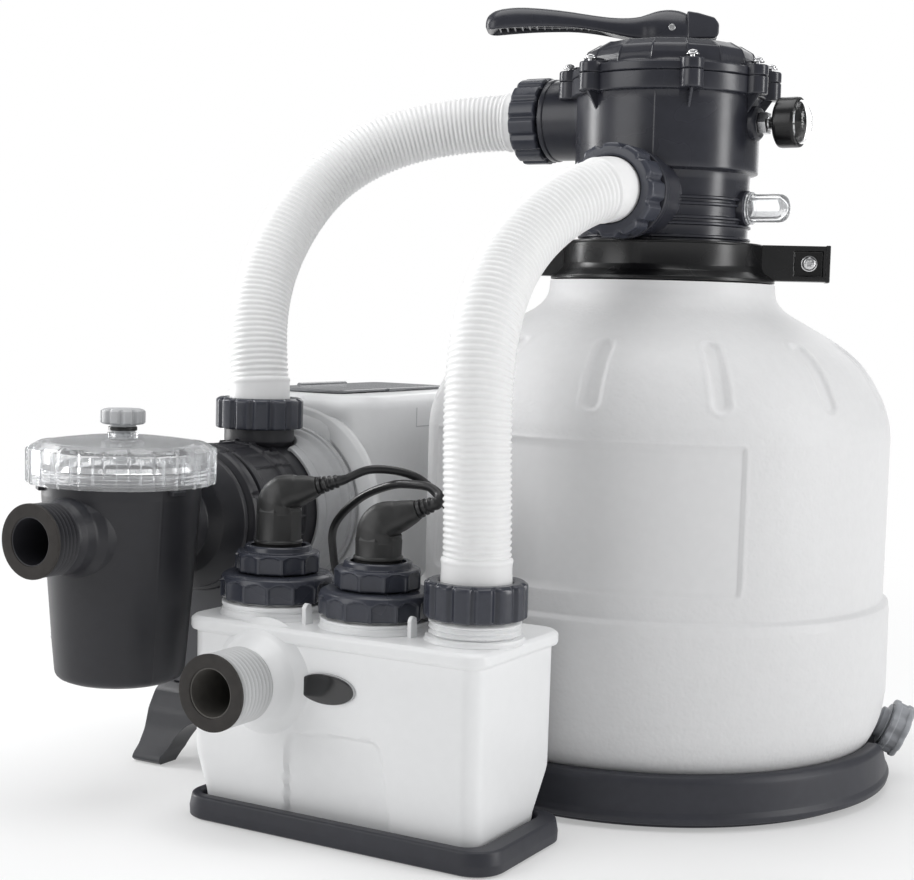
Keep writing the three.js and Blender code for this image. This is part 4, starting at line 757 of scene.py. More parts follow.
def build_rearcap():
    s0 = 99
    P = fil([((31.5, s0 + 0.2), .5), ((37.2, s0 + 0.2), 1), ((37.2, s0 + 22.8), 2.2), ((26, s0 + 23), 2), ((24, s0 + 21.4), 1), (0, s0 + 21.4)], .8, 5) + [(0, s0 + 18.7), (31.5, s0 + 18.7)]
    def mod(Rr, Zz, TH):
        return Rr - 2.2 * lobes(TH, 12, 0.5) * np.clip((Rr - 33) / 3, 0, 1), Zz
    obj("rear_port_cap_skin", lathe(P, 480, mod), "nut", "rear_cap_body", ["rear_port_cap"], T=FR, angle=42)
build_rearcap()

# ------------------------------------------------------------------ corrugated hoses
def hose(name, node, path, cuff=21.0):
    C, s = resample(path, 0.75)
    L = s[-1]
    pitch = 4.5
    d = np.minimum(s, L - s)                       # distance from the nearer end
    k = np.round((L - 2 * cuff) / pitch)
    ph = (s - cuff) / ((L - 2 * cuff) / k)
    rib = 0.5 - 0.5 * np.cos(2 * math.pi * ph)
    rib = rib ** 0.75
    r = 23.9 + 1.5 * rib
    edge = sm((d - cuff + 0.8) / 1.6)
    rc = 26.1 + 0.55 * np.exp(-((d - cuff + 2.4) / 1.5) ** 2) + 0.35 * np.exp(-((d - 3) / 4.0) ** 2)
    r = r * edge + rc * (1 - edge)
    r = np.where(d < 1.0, np.minimum(r, 25.6), r)
    part = sweep(C, r, 72)
    obj(name, part, "hose", R0, [node], angle=80)
A1 = bez([(-142, 0, 567), (-186.4, 0, 567), (-283, -47.5, 563.4), (-306, -106, 488)], 80)
B1 = bez([(-306, -106, 488), (-329, -164.5, 412.6), (-304, -172, 356), (-304, -172, 318)], 80)
hose("hose_a_skin", "hose_pump_to_valve", np.vstack([[(-134.6, 0, 567)], A1, B1[1:], [(-304, -172, 309.8)]]))
A2 = bez([(4, -126, 495), (4, -151, 495), (-29.3, -197.4, 471.9), (-24.5, -251.7, 417.1)], 80)
B2 = bez([(-24.5, -251.7, 417.1), (-19.7, -306, 362.2), (-10, -302, 290.8), (-10, -302, 209)], 80)
hose("hose_b_skin", "hose_valve_to_cell", np.vstack([[(4, -121.6, 495)], A2, B2[1:], [(-10, -302, 194.6)]]))

# ------------------------------------------------------------------ pump
PX, PZ, PY = -304.0, 215.5, -351.5
FPOT = Matrix.Translation((PX, PY, 0))
FIN = along((PX, PY, PZ), NY)
FY = along((PX, 0, PZ), Y)
def build_pot():
    out = fil([(0, 96), ((41, 96), 3), ((50.4, 99.5), 8), (53, 126), (62, 243), ((62, 251.4), .6), ((63, 252), .4), ((63, 253.6), .5)], 1, 6) + [(61.2, 254)] + thread(60.4, 61.8, 254.2, 261.2, 3.4) + [(60.4, 262), (57.6, 262), (57.5, 244), (47.5, 104), (42, 101), (0, 101)]
    P = dens(out, 8)
    def mod(Rr, Zz, TH):
        # faint draw lines of the mould
        for a in (-20.0, 160.0):
            d = ((np.degrees(TH) - a + 180) % 360) - 180
            Rr = Rr + np.where((Zz > 100) & (Zz < 250) & (Rr > 45), 0.3 * np.exp(-(d / 0.4) ** 2), 0)
        return Rr, Zz
    body = tf(lathe(P, 360, mod), FPOT)
    n = fil([(18.5, 30), (38, 44), ((34.0, 54), 5), ((29.6, 61), 6), ((28.6, 70.0), 2), ((26.6, 74.5), 2), (26.4, 76)], 2, 6) + thread(26.0, 27.9, 76.6, 95.4, 3.5) + [(26.4, 96.2), (26.4, 98.1), (18.5, 98.1)]
    inlet = tf(lathe(n, 160), FIN)
    back = tf(lathe(fil([(18, 30), (34, 40), ((34, 66), 2), ((45, 72), 6), ((58, 84), 2), ((58, 88.4), .5), (18, 88.4)], 1, 4), 128), along((PX, PY, PZ), Y))
    spig = tf(lathe(fil([(4.3, 30), (9.4, 40), ((8.2, 58.2), .6), (4.3, 58.2)], .5), 48), along((PX, PY, 124), NX))
    lugs = []
    for a in (-128, -8, 112):
        lugs.append(tf(boxm(60, 66.0, -7, 7, 247.2, 250.6), rotz(a, (PX, PY, 0))))
    obj("strainer_pot_skin", join(body, inlet, back, spig), "charcoal", R0, ["strainer_pot"], angle=36)
    obj("pot_rim_lugs", join(*lugs), "charcoal", R0, bevel=0.8)
    obj("inlet_gasket_skin", lathe(fil([((18.5, 98.55), .3), ((28.4, 98.55), .5), ((28.4, 101.4), .8), ((18.5, 101.4), .9)], .6, 4, closed=True), 128), "brown", R0, ["inlet_gasket"], T=FIN)
    obj("inlet_bore", lathe(fil([((18.48, 40), .2), (18.48, 100.6), (17.7, 100.4), (17.7, 40)], .1, 2, closed=True), 96), "charcoal", R0, T=FIN)
    plug = fil([(0, 51), (4, 51), (4, 58.9), ((9, 58.9), .5), ((9, 65.6), 1), ((6, 68), 1), (0, 68)], .5)
    obj("pot_drain_plug_skin", lathe(plug, 160, lambda a, b, t: (np.where(a > 6, a - 0.9 * lobes(t, 10, .4), a), b)), "lgrey", "pot_plug_body", ["pot_drain_plug"], T=along((PX, PY, 124), NX))
build_pot()

def build_lid():
    n = 24
    P = fil([((63.2, 252.3), .4), ((72.2, 252.3), .8), ((73.2, 254), .8), ((73.5, 279.2), 2.2), ((70.4, 281.4), 1.6), ((64.5, 284.6), 2.4), ((60, 284.9), 1.2)], 1, 4)
    P += cr([(60, 284.9), (46, 286.9), (30, 288.6), (18, 289.2), (12, 289.3)], 5)[1:] + [(12, 291.6), (7.2, 291.8), (6.7, 291), (6.7, 278.2)]
    P += cr([(6.7, 278.2), (20, 278), (40, 276.8), (54.2, 275.6)], 5)[1:] + [(55, 268), (58.5, 265.0)] + [(63.2, 264.6)] + [(q[0], q[1]) for q in thread(63.4, 62.2, 255, 263.4, 2.8)[::-1]]
    P = [tuple(q[:2]) for q in P]
    def mod(Rr, Zz, TH):
        ph = np.abs(((TH / (2 * math.pi) * n + 0.5) % 1) - 0.5) * 2
        w = np.clip((Rr - 69.5) / 2.5, 0, 1)
        ridge = np.exp(-(ph / 0.09) ** 2)
        dip = np.sqrt(np.clip(1 - (1 - np.clip(ph, 0, 1)) ** 2, 0, 1))
        return Rr + w * (0.9 * ridge - 0.9 * dip), Zz
    o = obj("strainer_lid_skin", lathe(P, 960, mod), "clear", "strainer_lid_body", ["strainer_lid"], T=FPOT, angle=34)
    # ring of fine webs inside the rim, and the raised ring on the crown
    webs = [tf(boxm(64.4, 69.4, -0.45, 0.45, 256, 276), rotz(15 * i + 7.5, (PX, PY, 0))) for i in range(24)]
    obj("lid_webs", join(*webs), "clear", "strainer_lid_body")
    kn = fil([(0, 310.4), ((14.8, 310.4), .8), ((17.5, 309), 1.2), ((17.5, 299.6), 1.2), ((15.6, 298.4), .6), ((10.2, 298.4), .5), ((10.2, 296.2), .5)], .6, 4) + [(10.0, 292.6), (6.2, 292.2), (6.0, 271.4), (8.9, 270.4), (8.9, 268.2), (0, 268.2)]
    def kmod(Rr, Zz, TH):
        w = np.clip((Rr - 14.2) / 2.5, 0, 1) * (Zz > 297.5)
        return Rr - w * 2.3 * lobes(TH, 10, 0.42), Zz
    obj("vent_knob_skin", lathe(kn, 300, kmod), "lgrey", "vent_knob_body", ["vent_knob"], T=FPOT, angle=40)
    obj("vent_knob_ring", lathe(fil([((9.8, 296.4), .3), ((11.2, 296.4), .5), ((11.2, 293.4), .5), ((9.8, 293.4), .3)], .4, 4, closed=True), 64), "black", "vent_knob_body", T=FPOT)
    # basket: ribbed wall with slots, rim and floor grid
    parts = [lathe(fil([((50, 249), .5), ((56, 249), .6), ((56, 246), .6), ((51.6, 244.6), .5), ((49.8, 246), .5)], .5, 3, closed=True), 96)]
    for zc, rr in ((160, 43.2), (188, 46.2), (216, 49.0)):
        parts.append(lathe(fil([((rr - 1.6, zc - 1), .4), ((rr, zc - 1), .4), ((rr, zc + 1), .4), ((rr - 1.6, zc + 1), .4)], .4, 3, closed=True), 72))
    parts.append(lathe(fil([((36, 132), .4), ((40.4, 132), .5), ((41.4, 137), .5), ((38, 137), .5)], .4, 3, closed=True), 72))
    for i in range(36):
        a = 10 * i
        V, F = boxm(0, 1, -0.8, 0.8, 0, 1)
        V = V.copy()
        r = np.where(V[:, 2] > 0.5, 50.2, 39.2) + V[:, 0] * 1.5 - 0.4
        V = np.column_stack([r, V[:, 1], np.where(V[:, 2] > 0.5, 245.5, 134)])
        parts.append(tf((V, F), rotz(a)))
    for i in range(-4, 5):
        h = math.sqrt(37 ** 2 - (8 * i) ** 2)
        parts.append(boxm(8 * i - 0.8, 8 * i + 0.8, -h, h, 132.2, 134.2)); parts.append(boxm(-h, h, 8 * i - 0.8, 8 * i + 0.8, 132.2, 134.2))
    obj("strainer_basket_skin", join(*parts), "lgrey", "basket_body", ["strainer_basket"], T=FPOT)
build_lid()

def build_volute():
    P = fil([((18, -262.4), .3), ((50, -262.4), 1), ((56, -260.8), 2), ((60.6, -257.4), 1.5), ((61.8, -254), 1), ((61.8, -247.6), .8), ((58.9, -247), .5), ((58.9, -243.6), .5), ((61.6, -243), .8), ((61.6, -236.6), 1),
             ((60.0, -234), 1), ((60.0, -208), .8), ((62.0, -206.4), .8), ((62.0, -199.6), .8), ((60.2, -198), .6), ((60.2, -187), .6), ((62.0, -185.6), .8), ((62.0, -140.4), .8), ((58, -140.4), .4), (58, -216), (18, -216)], 1, 4, closed=True)
    P = dens(P + [P[0]], 8)[:-1]
    def mod(Rr, Zz, TH):
        # clamp notches round the front ring and stiffening ribs between the rings
        n = lobes(TH, 8, 0.88)
        Rr = Rr - 2.0 * n * (Rr > 60.9) * (Zz < -236)
        rib = np.exp(-((((np.degrees(TH) + 7.5) % 15) - 7.5) / 0.9) ** 2)
        Rr = Rr + 1.6 * rib * (Zz > -233) * (Zz < -186) * (Rr > 59)
        return Rr, Zz
    shell = tf(lathe(P, 720, mod), FY)
    Q = fil([(19, 250), (24.3, 252), ((24.3, 268), 5), ((30.6, 276.4), 2.5), ((30.6, 288.0), .5)], 1, 6) + thread(28.9, 30.4, 288.2, 300.6, 3.1) + [(28.8, 301.4), (28.8, 303.4), (19, 303.4)]
    neck = tf(lathe(Q, 160), FP)
    saddle = tf(lathe(fil([(24, 262), (24.6, 262), ((25.6, 270), 4)], 1, 3) + [(24.3, 276)], 96), FP)
    boss = tf(lathe(fil([(19, 255), ((32, 262), 5), ((25.2, 279), 8), (24, 284)], 3, 5) + [(19, 284)], 128), Matrix.Translation((-304, -172, 0)))
    obj("volute_skin", join(shell, neck), "charcoal", R0, ["volute_housing"], angle=36)
    # pale flange: sleeve over the back of the housing, open round the outlet, then the collar against the drum
    fl = fil([((20, -134.9), .4), ((62.6, -134.9), .4), ((62.6, -171.4), .4), ((65.4, -171.8), .8), ((66, -169.6), .6), ((66, -163), .4), ((65.3, -162.4), .3), ((65.3, -160.6), .3), ((66, -160), .4), ((66, -137), 1), ((70.2, -133), 1), ((70.4, -130.4), .4), ((72.4, -129.8), .6), ((72.4, -124.2), .8), ((66.6, -121.2), .8), ((60, -121.2), .5), (60, -127.6), (20, -127.6)], .8, 4, closed=True)
    fl = dens(fl + [fl[0]], 2.0)[:-1]
    def notch(Rr, Zz, TH):
        d = np.hypot(Rr * np.cos(TH), Zz + 172)
        up_ = (-Rr * np.sin(TH) > 30) & (Rr > 62) & (Zz < -131)
        return np.where(up_ & (d < 32.5), 61.0, Rr), Zz
    obj("motor_flange_skin", lathe(fl, 420, notch), "lgrey", R0, ["motor_flange"], T=FY, angle=50)
build_volute()

MX, MW = -313.0, 174.0
def build_motor():
    prof = fil([(-4, 71.2), (0, 100), (0, 292), ((0, 309), 12), ((7, 316), 7), ((14, 316.3), 4), ((17, 316.3), 1)], 6, 8)
    prof = dens(prof, 5)
    lv = []
    for off, z in prof:
        if z > 100:
            w, h, r = MW - 2 * off, 240 - 2 * off, 28 - off * 0.8
        else:
            w, h, r = MW + 2 * off, 240 + 2 * off, 27
        lv.append((w, h, max(r, 8), z, MX, 0))
    def mod(G):
        x, y, z = G[..., 0].copy(), G[..., 1].copy(), G[..., 2].copy()
        front = y < -95
        # upright flute beside the right front corner, and its fainter twin on the left
        zz = sm((z - 118) / 40) * sm((303 - z) / 20)
        wdt = 7.5 + 5.0 * np.clip((300 - z) / 180, 0, 1)
        g = np.exp(-((x - (MX + MW / 2 - 28)) / wdt) ** 2) + 0.8 * np.exp(-((x - (MX - MW / 2 + 28)) / wdt) ** 2)
        y = y + np.where(front, 6.0 * g * zz, 0)
        # the drum behind the flange swells out of the front
        d = np.hypot(x - PX, z - PZ)
        y = y - np.where(front, 3.0 * sm((86 - d) / 8) * (1 - g * zz * 0.5), 0)
        G[..., 1] = y
        return G
    shell = loft(lv, ns=36, nc=10, mod=mod, cap0=False, cap1=False)
    lv2 = [(MW - 34, 206, 12, 316.2, MX, 0), (84 + 4, 200, 13, 316.2, MX, 0), (84 + 2, 198, 13, 315.4, MX, 0), (84 + 1, 197, 12.5, 309.4, MX, 0)]
    top = loft(lv2, ns=36, nc=10, cap0=False, cap1=False)
    lvi = [(MW - 14, 226, 24, 71.2, MX, 0), (MW - 6, 234, 26, 100, MX, 0), (MW - 6, 234, 26, 294, MX, 0), (MW - 10, 230, 24, 306, MX, 0)]
    obj("motor_cover_skin", join(shell, top), "white", R0, ["motor_cover"], angle=50, recalc=True)
    lip = loft([(MW - 8, 232, 26, 71.2, MX, 0), (MW - 5, 235, 26, 69.6, MX, 0), (MW - 14, 226, 22, 69.6, MX, 0)], ns=12, nc=8, cap0=False, cap1=False)
    obj("motor_cover_lip", lip, "white", R0)
    # ring where the drum meets the flange
    ringp = fil([((72.8, -121.0), .4), ((88, -121.2), 3), ((92, -119.0), 2), ((93, -116), 1), (60, -116), (60, -119.4), ((72.8, -119.4), .3)], 1, 5, closed=True)
    obj("motor_drum_ring", lathe(ringp, 240), "white", R0, T=FY)
    grille = []
    for k in range(9):
        z = 128 + 15 * k
        grille.append(boxm(MX - 48, MX + 48, 119.0, 121.4, z, z + 5))
    obj("motor_rear_louvres", join(*grille), "lgrey", R0, bevel=0.9)
    # outlined hatch on the right side near the top
    hx = MX + MW / 2
    seam = []
    for y0, y1, z0, z1 in ((-34, -33, 286, 304), (-33, 62, 286, 287), (61, 62, 286, 304)):
        seam.append(boxm(hx - 0.5, hx + 0.25, y0, y1, z0, z1))
    obj("motor_hatch_seam", join(*seam), "lgrey", R0)
    # control panel, button, smoked flip cover
    cp = loft([(75, 188, 11.5, 309.5, MX, 0), (75, 188, 11.5, 312.2, MX, 0), (73.6, 186.6, 11, 313, MX, 0)], ns=8, nc=6)
    obj("control_panel_skin", cp, "lgrey", R0, ["control_panel"])
    marks = []
    for i in range(5):
        marks.append(boxm(MX - 20 + 9 * i, MX - 16 + 9 * i, 30, 34, 313.0, 313.35))
    marks.append(boxm(MX - 22, MX + 22, -52, -26, 312.8, 313.3))
    obj("panel_lamps", join(*marks), "ink", R0)
    obj("power_button_skin", lathe(fil([(0, 311.2), (7.9, 311.2), ((7.9, 314.9), .8), ((5, 314.5), 1), (0, 314.3)], .5), 64), "grey", "button_body", ["power_button"], T=Matrix.Translation((MX, 0, 0)))
    fc = loft([(82.6, 194.6, 11.4, 316.55, MX, 0), (84, 196, 12, 317.2, MX, 0), (84, 196, 12, 318.7, MX, 0), (82.2, 194.2, 11.4, 319.5, MX, 0)], ns=8, nc=8)
    hinge = tf(lathe(fil([(0, -40), ((2.6, -40), .5), ((2.6, 40), .5), (0, 40)], .4), 32), along((MX - 42, 0, 319), Y))
    tab = boxm(MX + 38, MX + 44.5, -14, 14, 316.7, 319.2)
    obj("panel_flip_cover_skin", join(fc, hinge, tab), "panel", "flip_cover_body", ["panel_flip_cover"], bevel=0.3, bseg=2)
build_motor()

def build_cradle():
    zo = [0, 2.5, 6, 14, 28, 44, 58, 66.5]; yo = [-261, -264.4, -264.0, -257, -251, -246.5, -238, -226]
    zi = [0, 8, 20, 34, 46, 53]; yi = [-241, -234, -228, -221, -211, -198]
    mid = fil([(-226, 66.5), ((-213, 70.6), 6), (-150, 70.6), (0, 70.6), ((112, 70.6), 9), (112, 30), ((112, 0), 1), ((84, 0), 1), ((80, 34), 6), ((70, 50), 6), ((54, 56), 6), (-120, 56), ((-186, 56), 6), (-198, 53)], 4, 6)
    xs = sorted(set(np.round(np.r_[np.linspace(-58, -31, 8), 30.5 * np.sin(np.linspace(-math.pi / 2, math.pi / 2, 41)), np.linspace(31, 58, 8)], 4).tolist()))
    G = []
    for x in xs:
        q = min(abs(x) / 30.0, 1.0)
        zm = 38.0 * (1 - q ** 2.2) ** 0.62          # arch between the two feet
        a = np.linspace(zm, 66.5, 26)[:-1]; b = np.linspace(53, zm, 22)[1:]
        ring = list(zip(np.interp(a, zo, yo), a)) + list(mid) + list(zip(np.interp(b, zi, yi), b))
        # the feet spread a little towards the floor
        G.append([(PX + x * (1 + 0.05 * max(0, 1 - r[1] / 26.0) * (r[0] < -190) * (abs(x) > 29)), r[0], r[1]) for r in ring])
    obj("pump_cradle_skin", ringgrid(np.array(G)), "grey", R0, ["pump_cradle"], bevel=2.2, bseg=4, angle=40)
    # saddle block under the volute, cut to its round belly
    n = 24
    prof = [(-46, 66), (46, 66)] + [(46 * math.cos(math.pi * i / n) , PZ - math.sqrt(max(62.9 ** 2 - (46 * math.cos(math.pi * i / n)) ** 2, 0))) for i in range(n + 1)]
    V, F = prism(prof, -229, -177)
    V = np.column_stack([PX + V[:, 0], V[:, 2], V[:, 1]])
    obj("cradle_saddle_skin", (V, F), "grey", R0, bevel=1.2)
    ribs = [boxm(PX - 58.6 if s < 0 else PX + 56.6, PX - 56.6 if s < 0 else PX + 58.6, -196, 70, 60.5, 63.0) for s in (-1, 1)]
    obj("cradle_side_beads", join(*ribs), "grey", R0, bevel=0.6)
build_cradle()

# ------------------------------------------------------------------ salt cell box
CX, CY = -100.0, -302.0
EDX, SDX = -87.5, 5.0                 # electrode and sensor ports from the centre
FOUT = along((-165, 0, 114), NY)
def build_cell():
    t = fil([((120, 48.75, 12, 8.6, -101, -299.8), 1), ((121.5, 50, 12, 20, -101.5, -299.5), 4), ((126.4, 62.4, 13, 50, -106.5, -288.5), 14), ((127, 63, 13.5, 143.2, -107, -288), 1.2), ((131, 66.6, 17, 144.4, -107, -288), 1.0),
             ((132, 67.5, 18, 146.4, -107, -288), 1.0), ((132, 67.5, 18, 152.6, -107, -288), 2.2), ((129.2, 64.8, 16.5, 155, -107, -288), 1.8), (108, 45, 12, 155, -107, -288)], 2, 6)
    t = dens(t, 3.0)
    lv = [(2 * q[0], 2 * q[1], max(q[2], 3), q[3], q[4], q[5]) for q in t]
    def mod(G):
        x, y, z = G[..., 0].copy(), G[..., 1].copy(), G[..., 2].copy()
        f = (y < -344) & (z < 143)
        # arched step in the lower front, wider towards the floor on the right
        xl = -142.3; xr = -59.0 + (70 - z) * 0.165; zt = 78.0 + (x + 100) * 0.06
        rc = 11.0
        ex = np.minimum(x - xl, xr - x); ez = zt - z
        e = np.where((ex < rc) & (ez < rc), rc - np.hypot(np.maximum(rc - ex, 0), np.maximum(rc - ez, 0)), np.minimum(ex, ez))
        y = y + np.where(f, 3.6 * sm((e + 1.4) / 2.6), 0)
        # the faces draw in very slightly between their corners, as moulded walls do
        u = np.clip(1 - ((x + 107) / 104) ** 2, 0, 1)
        band = np.clip((z - 30) / 30, 0, 1) * np.clip((138 - z) / 12, 0, 1)
        y = y + np.where(f, 0.6 * u * band, np.where(y > -250, -0.6 * u * band, 0))
        G[..., 1] = y
        return G
    box = loft(lv, ns=90, nc=14, mod=mod, cap0=True, cap1=True)
    def neck(dx, ring, z1, bore):
        Q = [(bore, 149), (ring[0][0][0] - 2, 153), (ring[0][0][0] - 1.6, 154.2)] + fil(ring, .5) + [(36.4, z1 - 0.4), (35.9, z1), (bore, z1)]
        return tf(lathe(Q, 160), Matrix.Translation((CX + dx, CY, 0)))
    necks = [neck(EDX, [((44.6, 155.2), 1), ((43.0, 157.2), .8), ((43.0, 159.4), .5), ((41.6, 160.4), .5), ((41.6, 161.4), .5), ((43.0, 162.4), .5), ((43.0, 165.2), .8), ((36.4, 165.8), .4)], 178.4, 28),
             neck(SDX, [((44.6, 155.2), 1), ((43.0, 157.0), .8), ((43.0, 158.8), .5), ((42.0, 159.8), .4), ((43.0, 160.8), .5), ((43.0, 162.3), .6), ((36.4, 162.8), .4)], 174.9, 28),
             neck(90, [((38.0, 155.2), 1), ((36.4, 156.8), .6), ((36.4, 158.4), .5)], 159.0, 19)]
    hn = [(19, 153)] + thread(28.6, 30.5, 159.0, 187.4, 4.2, 8) + [(28.6, 188.1), (19, 188.1)]
    necks.append(tf(lathe(hn, 160), Matrix.Translation((CX + 90, CY, 0))))
    hn2 = [(30, 158.6)] + thread(31.6, 34.4, 159.0, 170.8, 3.9, 8) + [(30, 171.2)]
    necks.append(tf(lathe(hn2, 160), Matrix.Translation((CX + 90, CY, 0))))
    op = fil([(18.5, 330), (47, 346), ((40.5, 352.4), 6), ((35.0, 358.6), 6), ((30.4, 368), 4), (27.0, 374)], 2, 6) + [(18.5, 374)]
    tp = [(18.5, 374.2), (26.4, 374.2)] + thread(25.4, 28.2, 374.6, 409.0, 4.3, 8) + [(26.2, 409.8), (26.2, 411.0), (18.5, 411.0)]
    port = tf(lathe(op, 200), FOUT)
    obj("cell_box_skin", join(box, port, *necks), "white", R0, ["cell_box"], angle=40)
    # the spout's white plastic is painted greyer, as painted shade between its thread rings
    obj("cell_outlet_spout", tf(lathe(tp, 200), FOUT), "spout", R0, angle=40)
    # the bore of the white outlet and a disc that closes it deeper in are coloured dark, as painted shade inside the
    # hole
    obj("cell_outlet_bore", lathe(fil([((18.48, 340), .2), (18.48, 413.4), (17.6, 413.2), (17.6, 340)], .1, 2, closed=True), 96), "bore", R0, T=FOUT)
    obj("cell_outlet_shade_disc", lathe([(0, 352), (18.0, 352), (18.0, 354), (0, 354)], 64), "bore", R0, T=FOUT)
    obj("cell_outlet_gasket_skin", lathe(fil([((18.5, 411.35), .3), ((28.6, 411.35), .5), ((28.6, 414.3), .8), ((18.5, 414.3), .9)], .6, 4, closed=True), 128), "brown", R0, ["cell_outlet_gasket"], T=FOUT)
    # locking tabs on the deck
    tabs = []
    for x0, x1, y0 in ((-143, -139, -332), (-52, -48.5, -328)):
        pf = [(y0 - 0.5, 153), (y0 - 0.5, 167.6), (y0 + 1, 169.8), (y0 + 3.6, 170.8), (y0 + 7.2, 169.4), (y0 + 8, 166.0), (y0 + 8.6, 158), (y0 + 11, 153)]
        V, F = prism(pf, x0, x1)
        tabs.append((np.column_stack([V[:, 2], V[:, 0], V[:, 1]]), F))
    obj("cell_lock_tabs", join(*tabs), "white", R0, bevel=0.7)
    # blank oval badge: dark glossy plate with a fine pale rim
    FB = Matrix(((1, 0, 0, -106.2), (0, 0, -1, 0), (0, 1, 0, 113.8), (0, 0, 0, 1)))
    def oval(Rr, Zz, TH):
        return Rr * np.sqrt(1 / (np.cos(TH) ** 2 + (np.sin(TH) * 24.8 / 11.4) ** 2)), Zz
    rim = fil([(0, 349.6), (25.2, 349.6), ((25.2, 352.2), .5), ((24.0, 352.5), .4), (0, 352.5)], .4)
    obj("badge_rim", lathe(rim, 200, oval), "lgrey", R0, T=FB)
    plate = fil([(0, 350.4), ((24.3, 350.4), .2), ((24.3, 352.8), .6)], .4) + cr([(23.6, 353.0), (16, 353.3), (0, 353.4)], 6)[1:]
    obj("badge_plate", lathe(plate, 200, oval), "gloss_black", R0, T=FB)
build_cell()

def build_tray():
    oc, ic = (-96.0, -302.0), (-101.0, -300.0)
    o = fil([(134.6, 61.0, 22, 0.05) + oc, ((136.6, 62.6, 23, 1.2) + oc, .8), ((137.0, 63.0, 23.4, 8) + oc, 2), ((135.4, 61.6, 22.6, 17.2) + oc, 2.0), ((133.6, 60, 21.5, 18) + oc, 1.0), ((126.0, 55.0, 15.5, 17.9) + ic, 1.2),
             ((124.2, 53.7, 14.5, 16.4) + ic, 1.0), (123.2, 53.1, 13.2, 8.2) + ic, (110, 45, 12, 8.0) + ic], 1.2, 6)
    lv = [(2 * q[0], 2 * q[1], q[2], q[3], q[4], q[5]) for q in o]
    obj("cell_tray_skin", loft(lv, ns=20, nc=14), "tray", R0, ["cell_tray"], angle=40)
build_tray()

def build_ports():
    def bignut(name, body, node, dx, z0, zt):
        P = fil([((37.4, z0 + 0.3), .5), ((43.2, z0 + 0.3), .6), ((44.4, z0 + 1.4), .9), ((44.5, zt - 6.2), 2), ((43.0, zt - 2.0), 2.6), ((39.0, zt - 0.1), 2.2), ((30.4, zt - 0.1), .8), ((24.8, zt - 0.3), .3), ((24.8, zt - 4.6), .3), ((37.4, zt - 4.8), .3)], .8, 6, closed=True)
        P = dens(P + [P[0]], 1.2)[:-1]
        def mod(Rr, Zz, TH):
            n = 14
            g = flutes(TH, n, 0.10, 0.5)
            ph = np.abs(((TH / (2 * math.pi) * n + 1.0) % 1) - 0.5) * 2
            cut = zt - 4.2 - 3.4 * (1 - np.clip(ph, 0, 1)) ** 2         # arched top of each flute
            w = sm((cut - Zz) / 1.6) * np.clip((Rr - 38.5) / 2.6, 0, 1)
            return Rr - 2.5 * g * w, Zz
        obj(name, lathe(P, 700, mod), "nut", body, [node], T=Matrix.Translation((CX + dx, CY, 0)), angle=45)
    bignut("electrode_nut_skin", "electrode_nut_body", "electrode_nut", EDX, 167.0, 187.5)
    bignut("sensor_nut_skin", "sensor_nut_body", "sensor_nut", SDX, 164.0, 184.0)
    def collar(name, body, node, dx, zb, zt):
        P = fil([((24.7, zb + 0.1), .3), ((32.0, zb + 0.1), .6), ((33.2, zb + 1.2), .8), ((33.2, zt - 3.2), 1.4), ((31.6, zt - 0.8), 1.2), ((26.8, zt), 1.0), ((25.8, zt + 3.4), .7), ((24.6, zt + 4.5), .7), ((21.4, zt + 4.3), .6), ((20.8, zt - 8.6), .3), ((24.7, zt - 9.0), .2)], .6, 6, closed=True)
        P = dens(P + [P[0]], 1.3)[:-1]
        def mod(Rr, Zz, TH):
            n = 11
            g = flutes(TH, n, 0.10, 0.5)
            ph = np.abs(((TH / (2 * math.pi) * n + 1.0) % 1) - 0.5) * 2
            cut = zt - 1.8 - 2.4 * (1 - np.clip(ph, 0, 1)) ** 2
            w = sm((cut - Zz) / 1.2) * np.clip((Rr - 28.6) / 2.4, 0, 1)
            return Rr - 1.9 * g * w, Zz
        obj(name, lathe(P, 600, mod), "nut", body, [node], T=Matrix.Translation((CX + dx, CY, 0)), angle=45)
    collar("electrode_collar_skin", "electrode_collar_body", "electrode_collar", EDX, 188.1, 204.5)
    collar("sensor_collar_skin", "sensor_collar_body", "sensor_collar", SDX, 184.6, 200.6)
    def holder(z1, top, low):
        return lathe(fil([(0, low), (17, low), ((26.9, z1 - 16), .5), (26.9, z1 - 8.4), ((36, z1 - 8.4), .4), ((36, z1 - 5.6), .4), ((24, z1 - 5.4), .4), ((24, top - 0.2), .4), (20.9, top - 0.2), (20.9, top - 6), (0, top - 6)], .4), 96)
    obj("electrode_head_skin", holder(187.5, 195.1, 136), "dark", R0, T=Matrix.Translation((CX + EDX, CY, 0)))
    obj("sensor_holder_skin", holder(184.0, 191.2, 132), "dark", R0, ["sensor_holder"], T=Matrix.Translation((CX + SDX, CY, 0)))
    plates = [boxm(CX + EDX - 15, CX + EDX + 15, CY - 10 + 5 * i - 0.6, CY - 10 + 5 * i + 0.6, 32, 137) for i in range(5)]
    obj("electrode_plates_skin", join(*plates), "titan", R0, ["electrode_cell"], bevel=0.25, bseg=2)
build_ports()

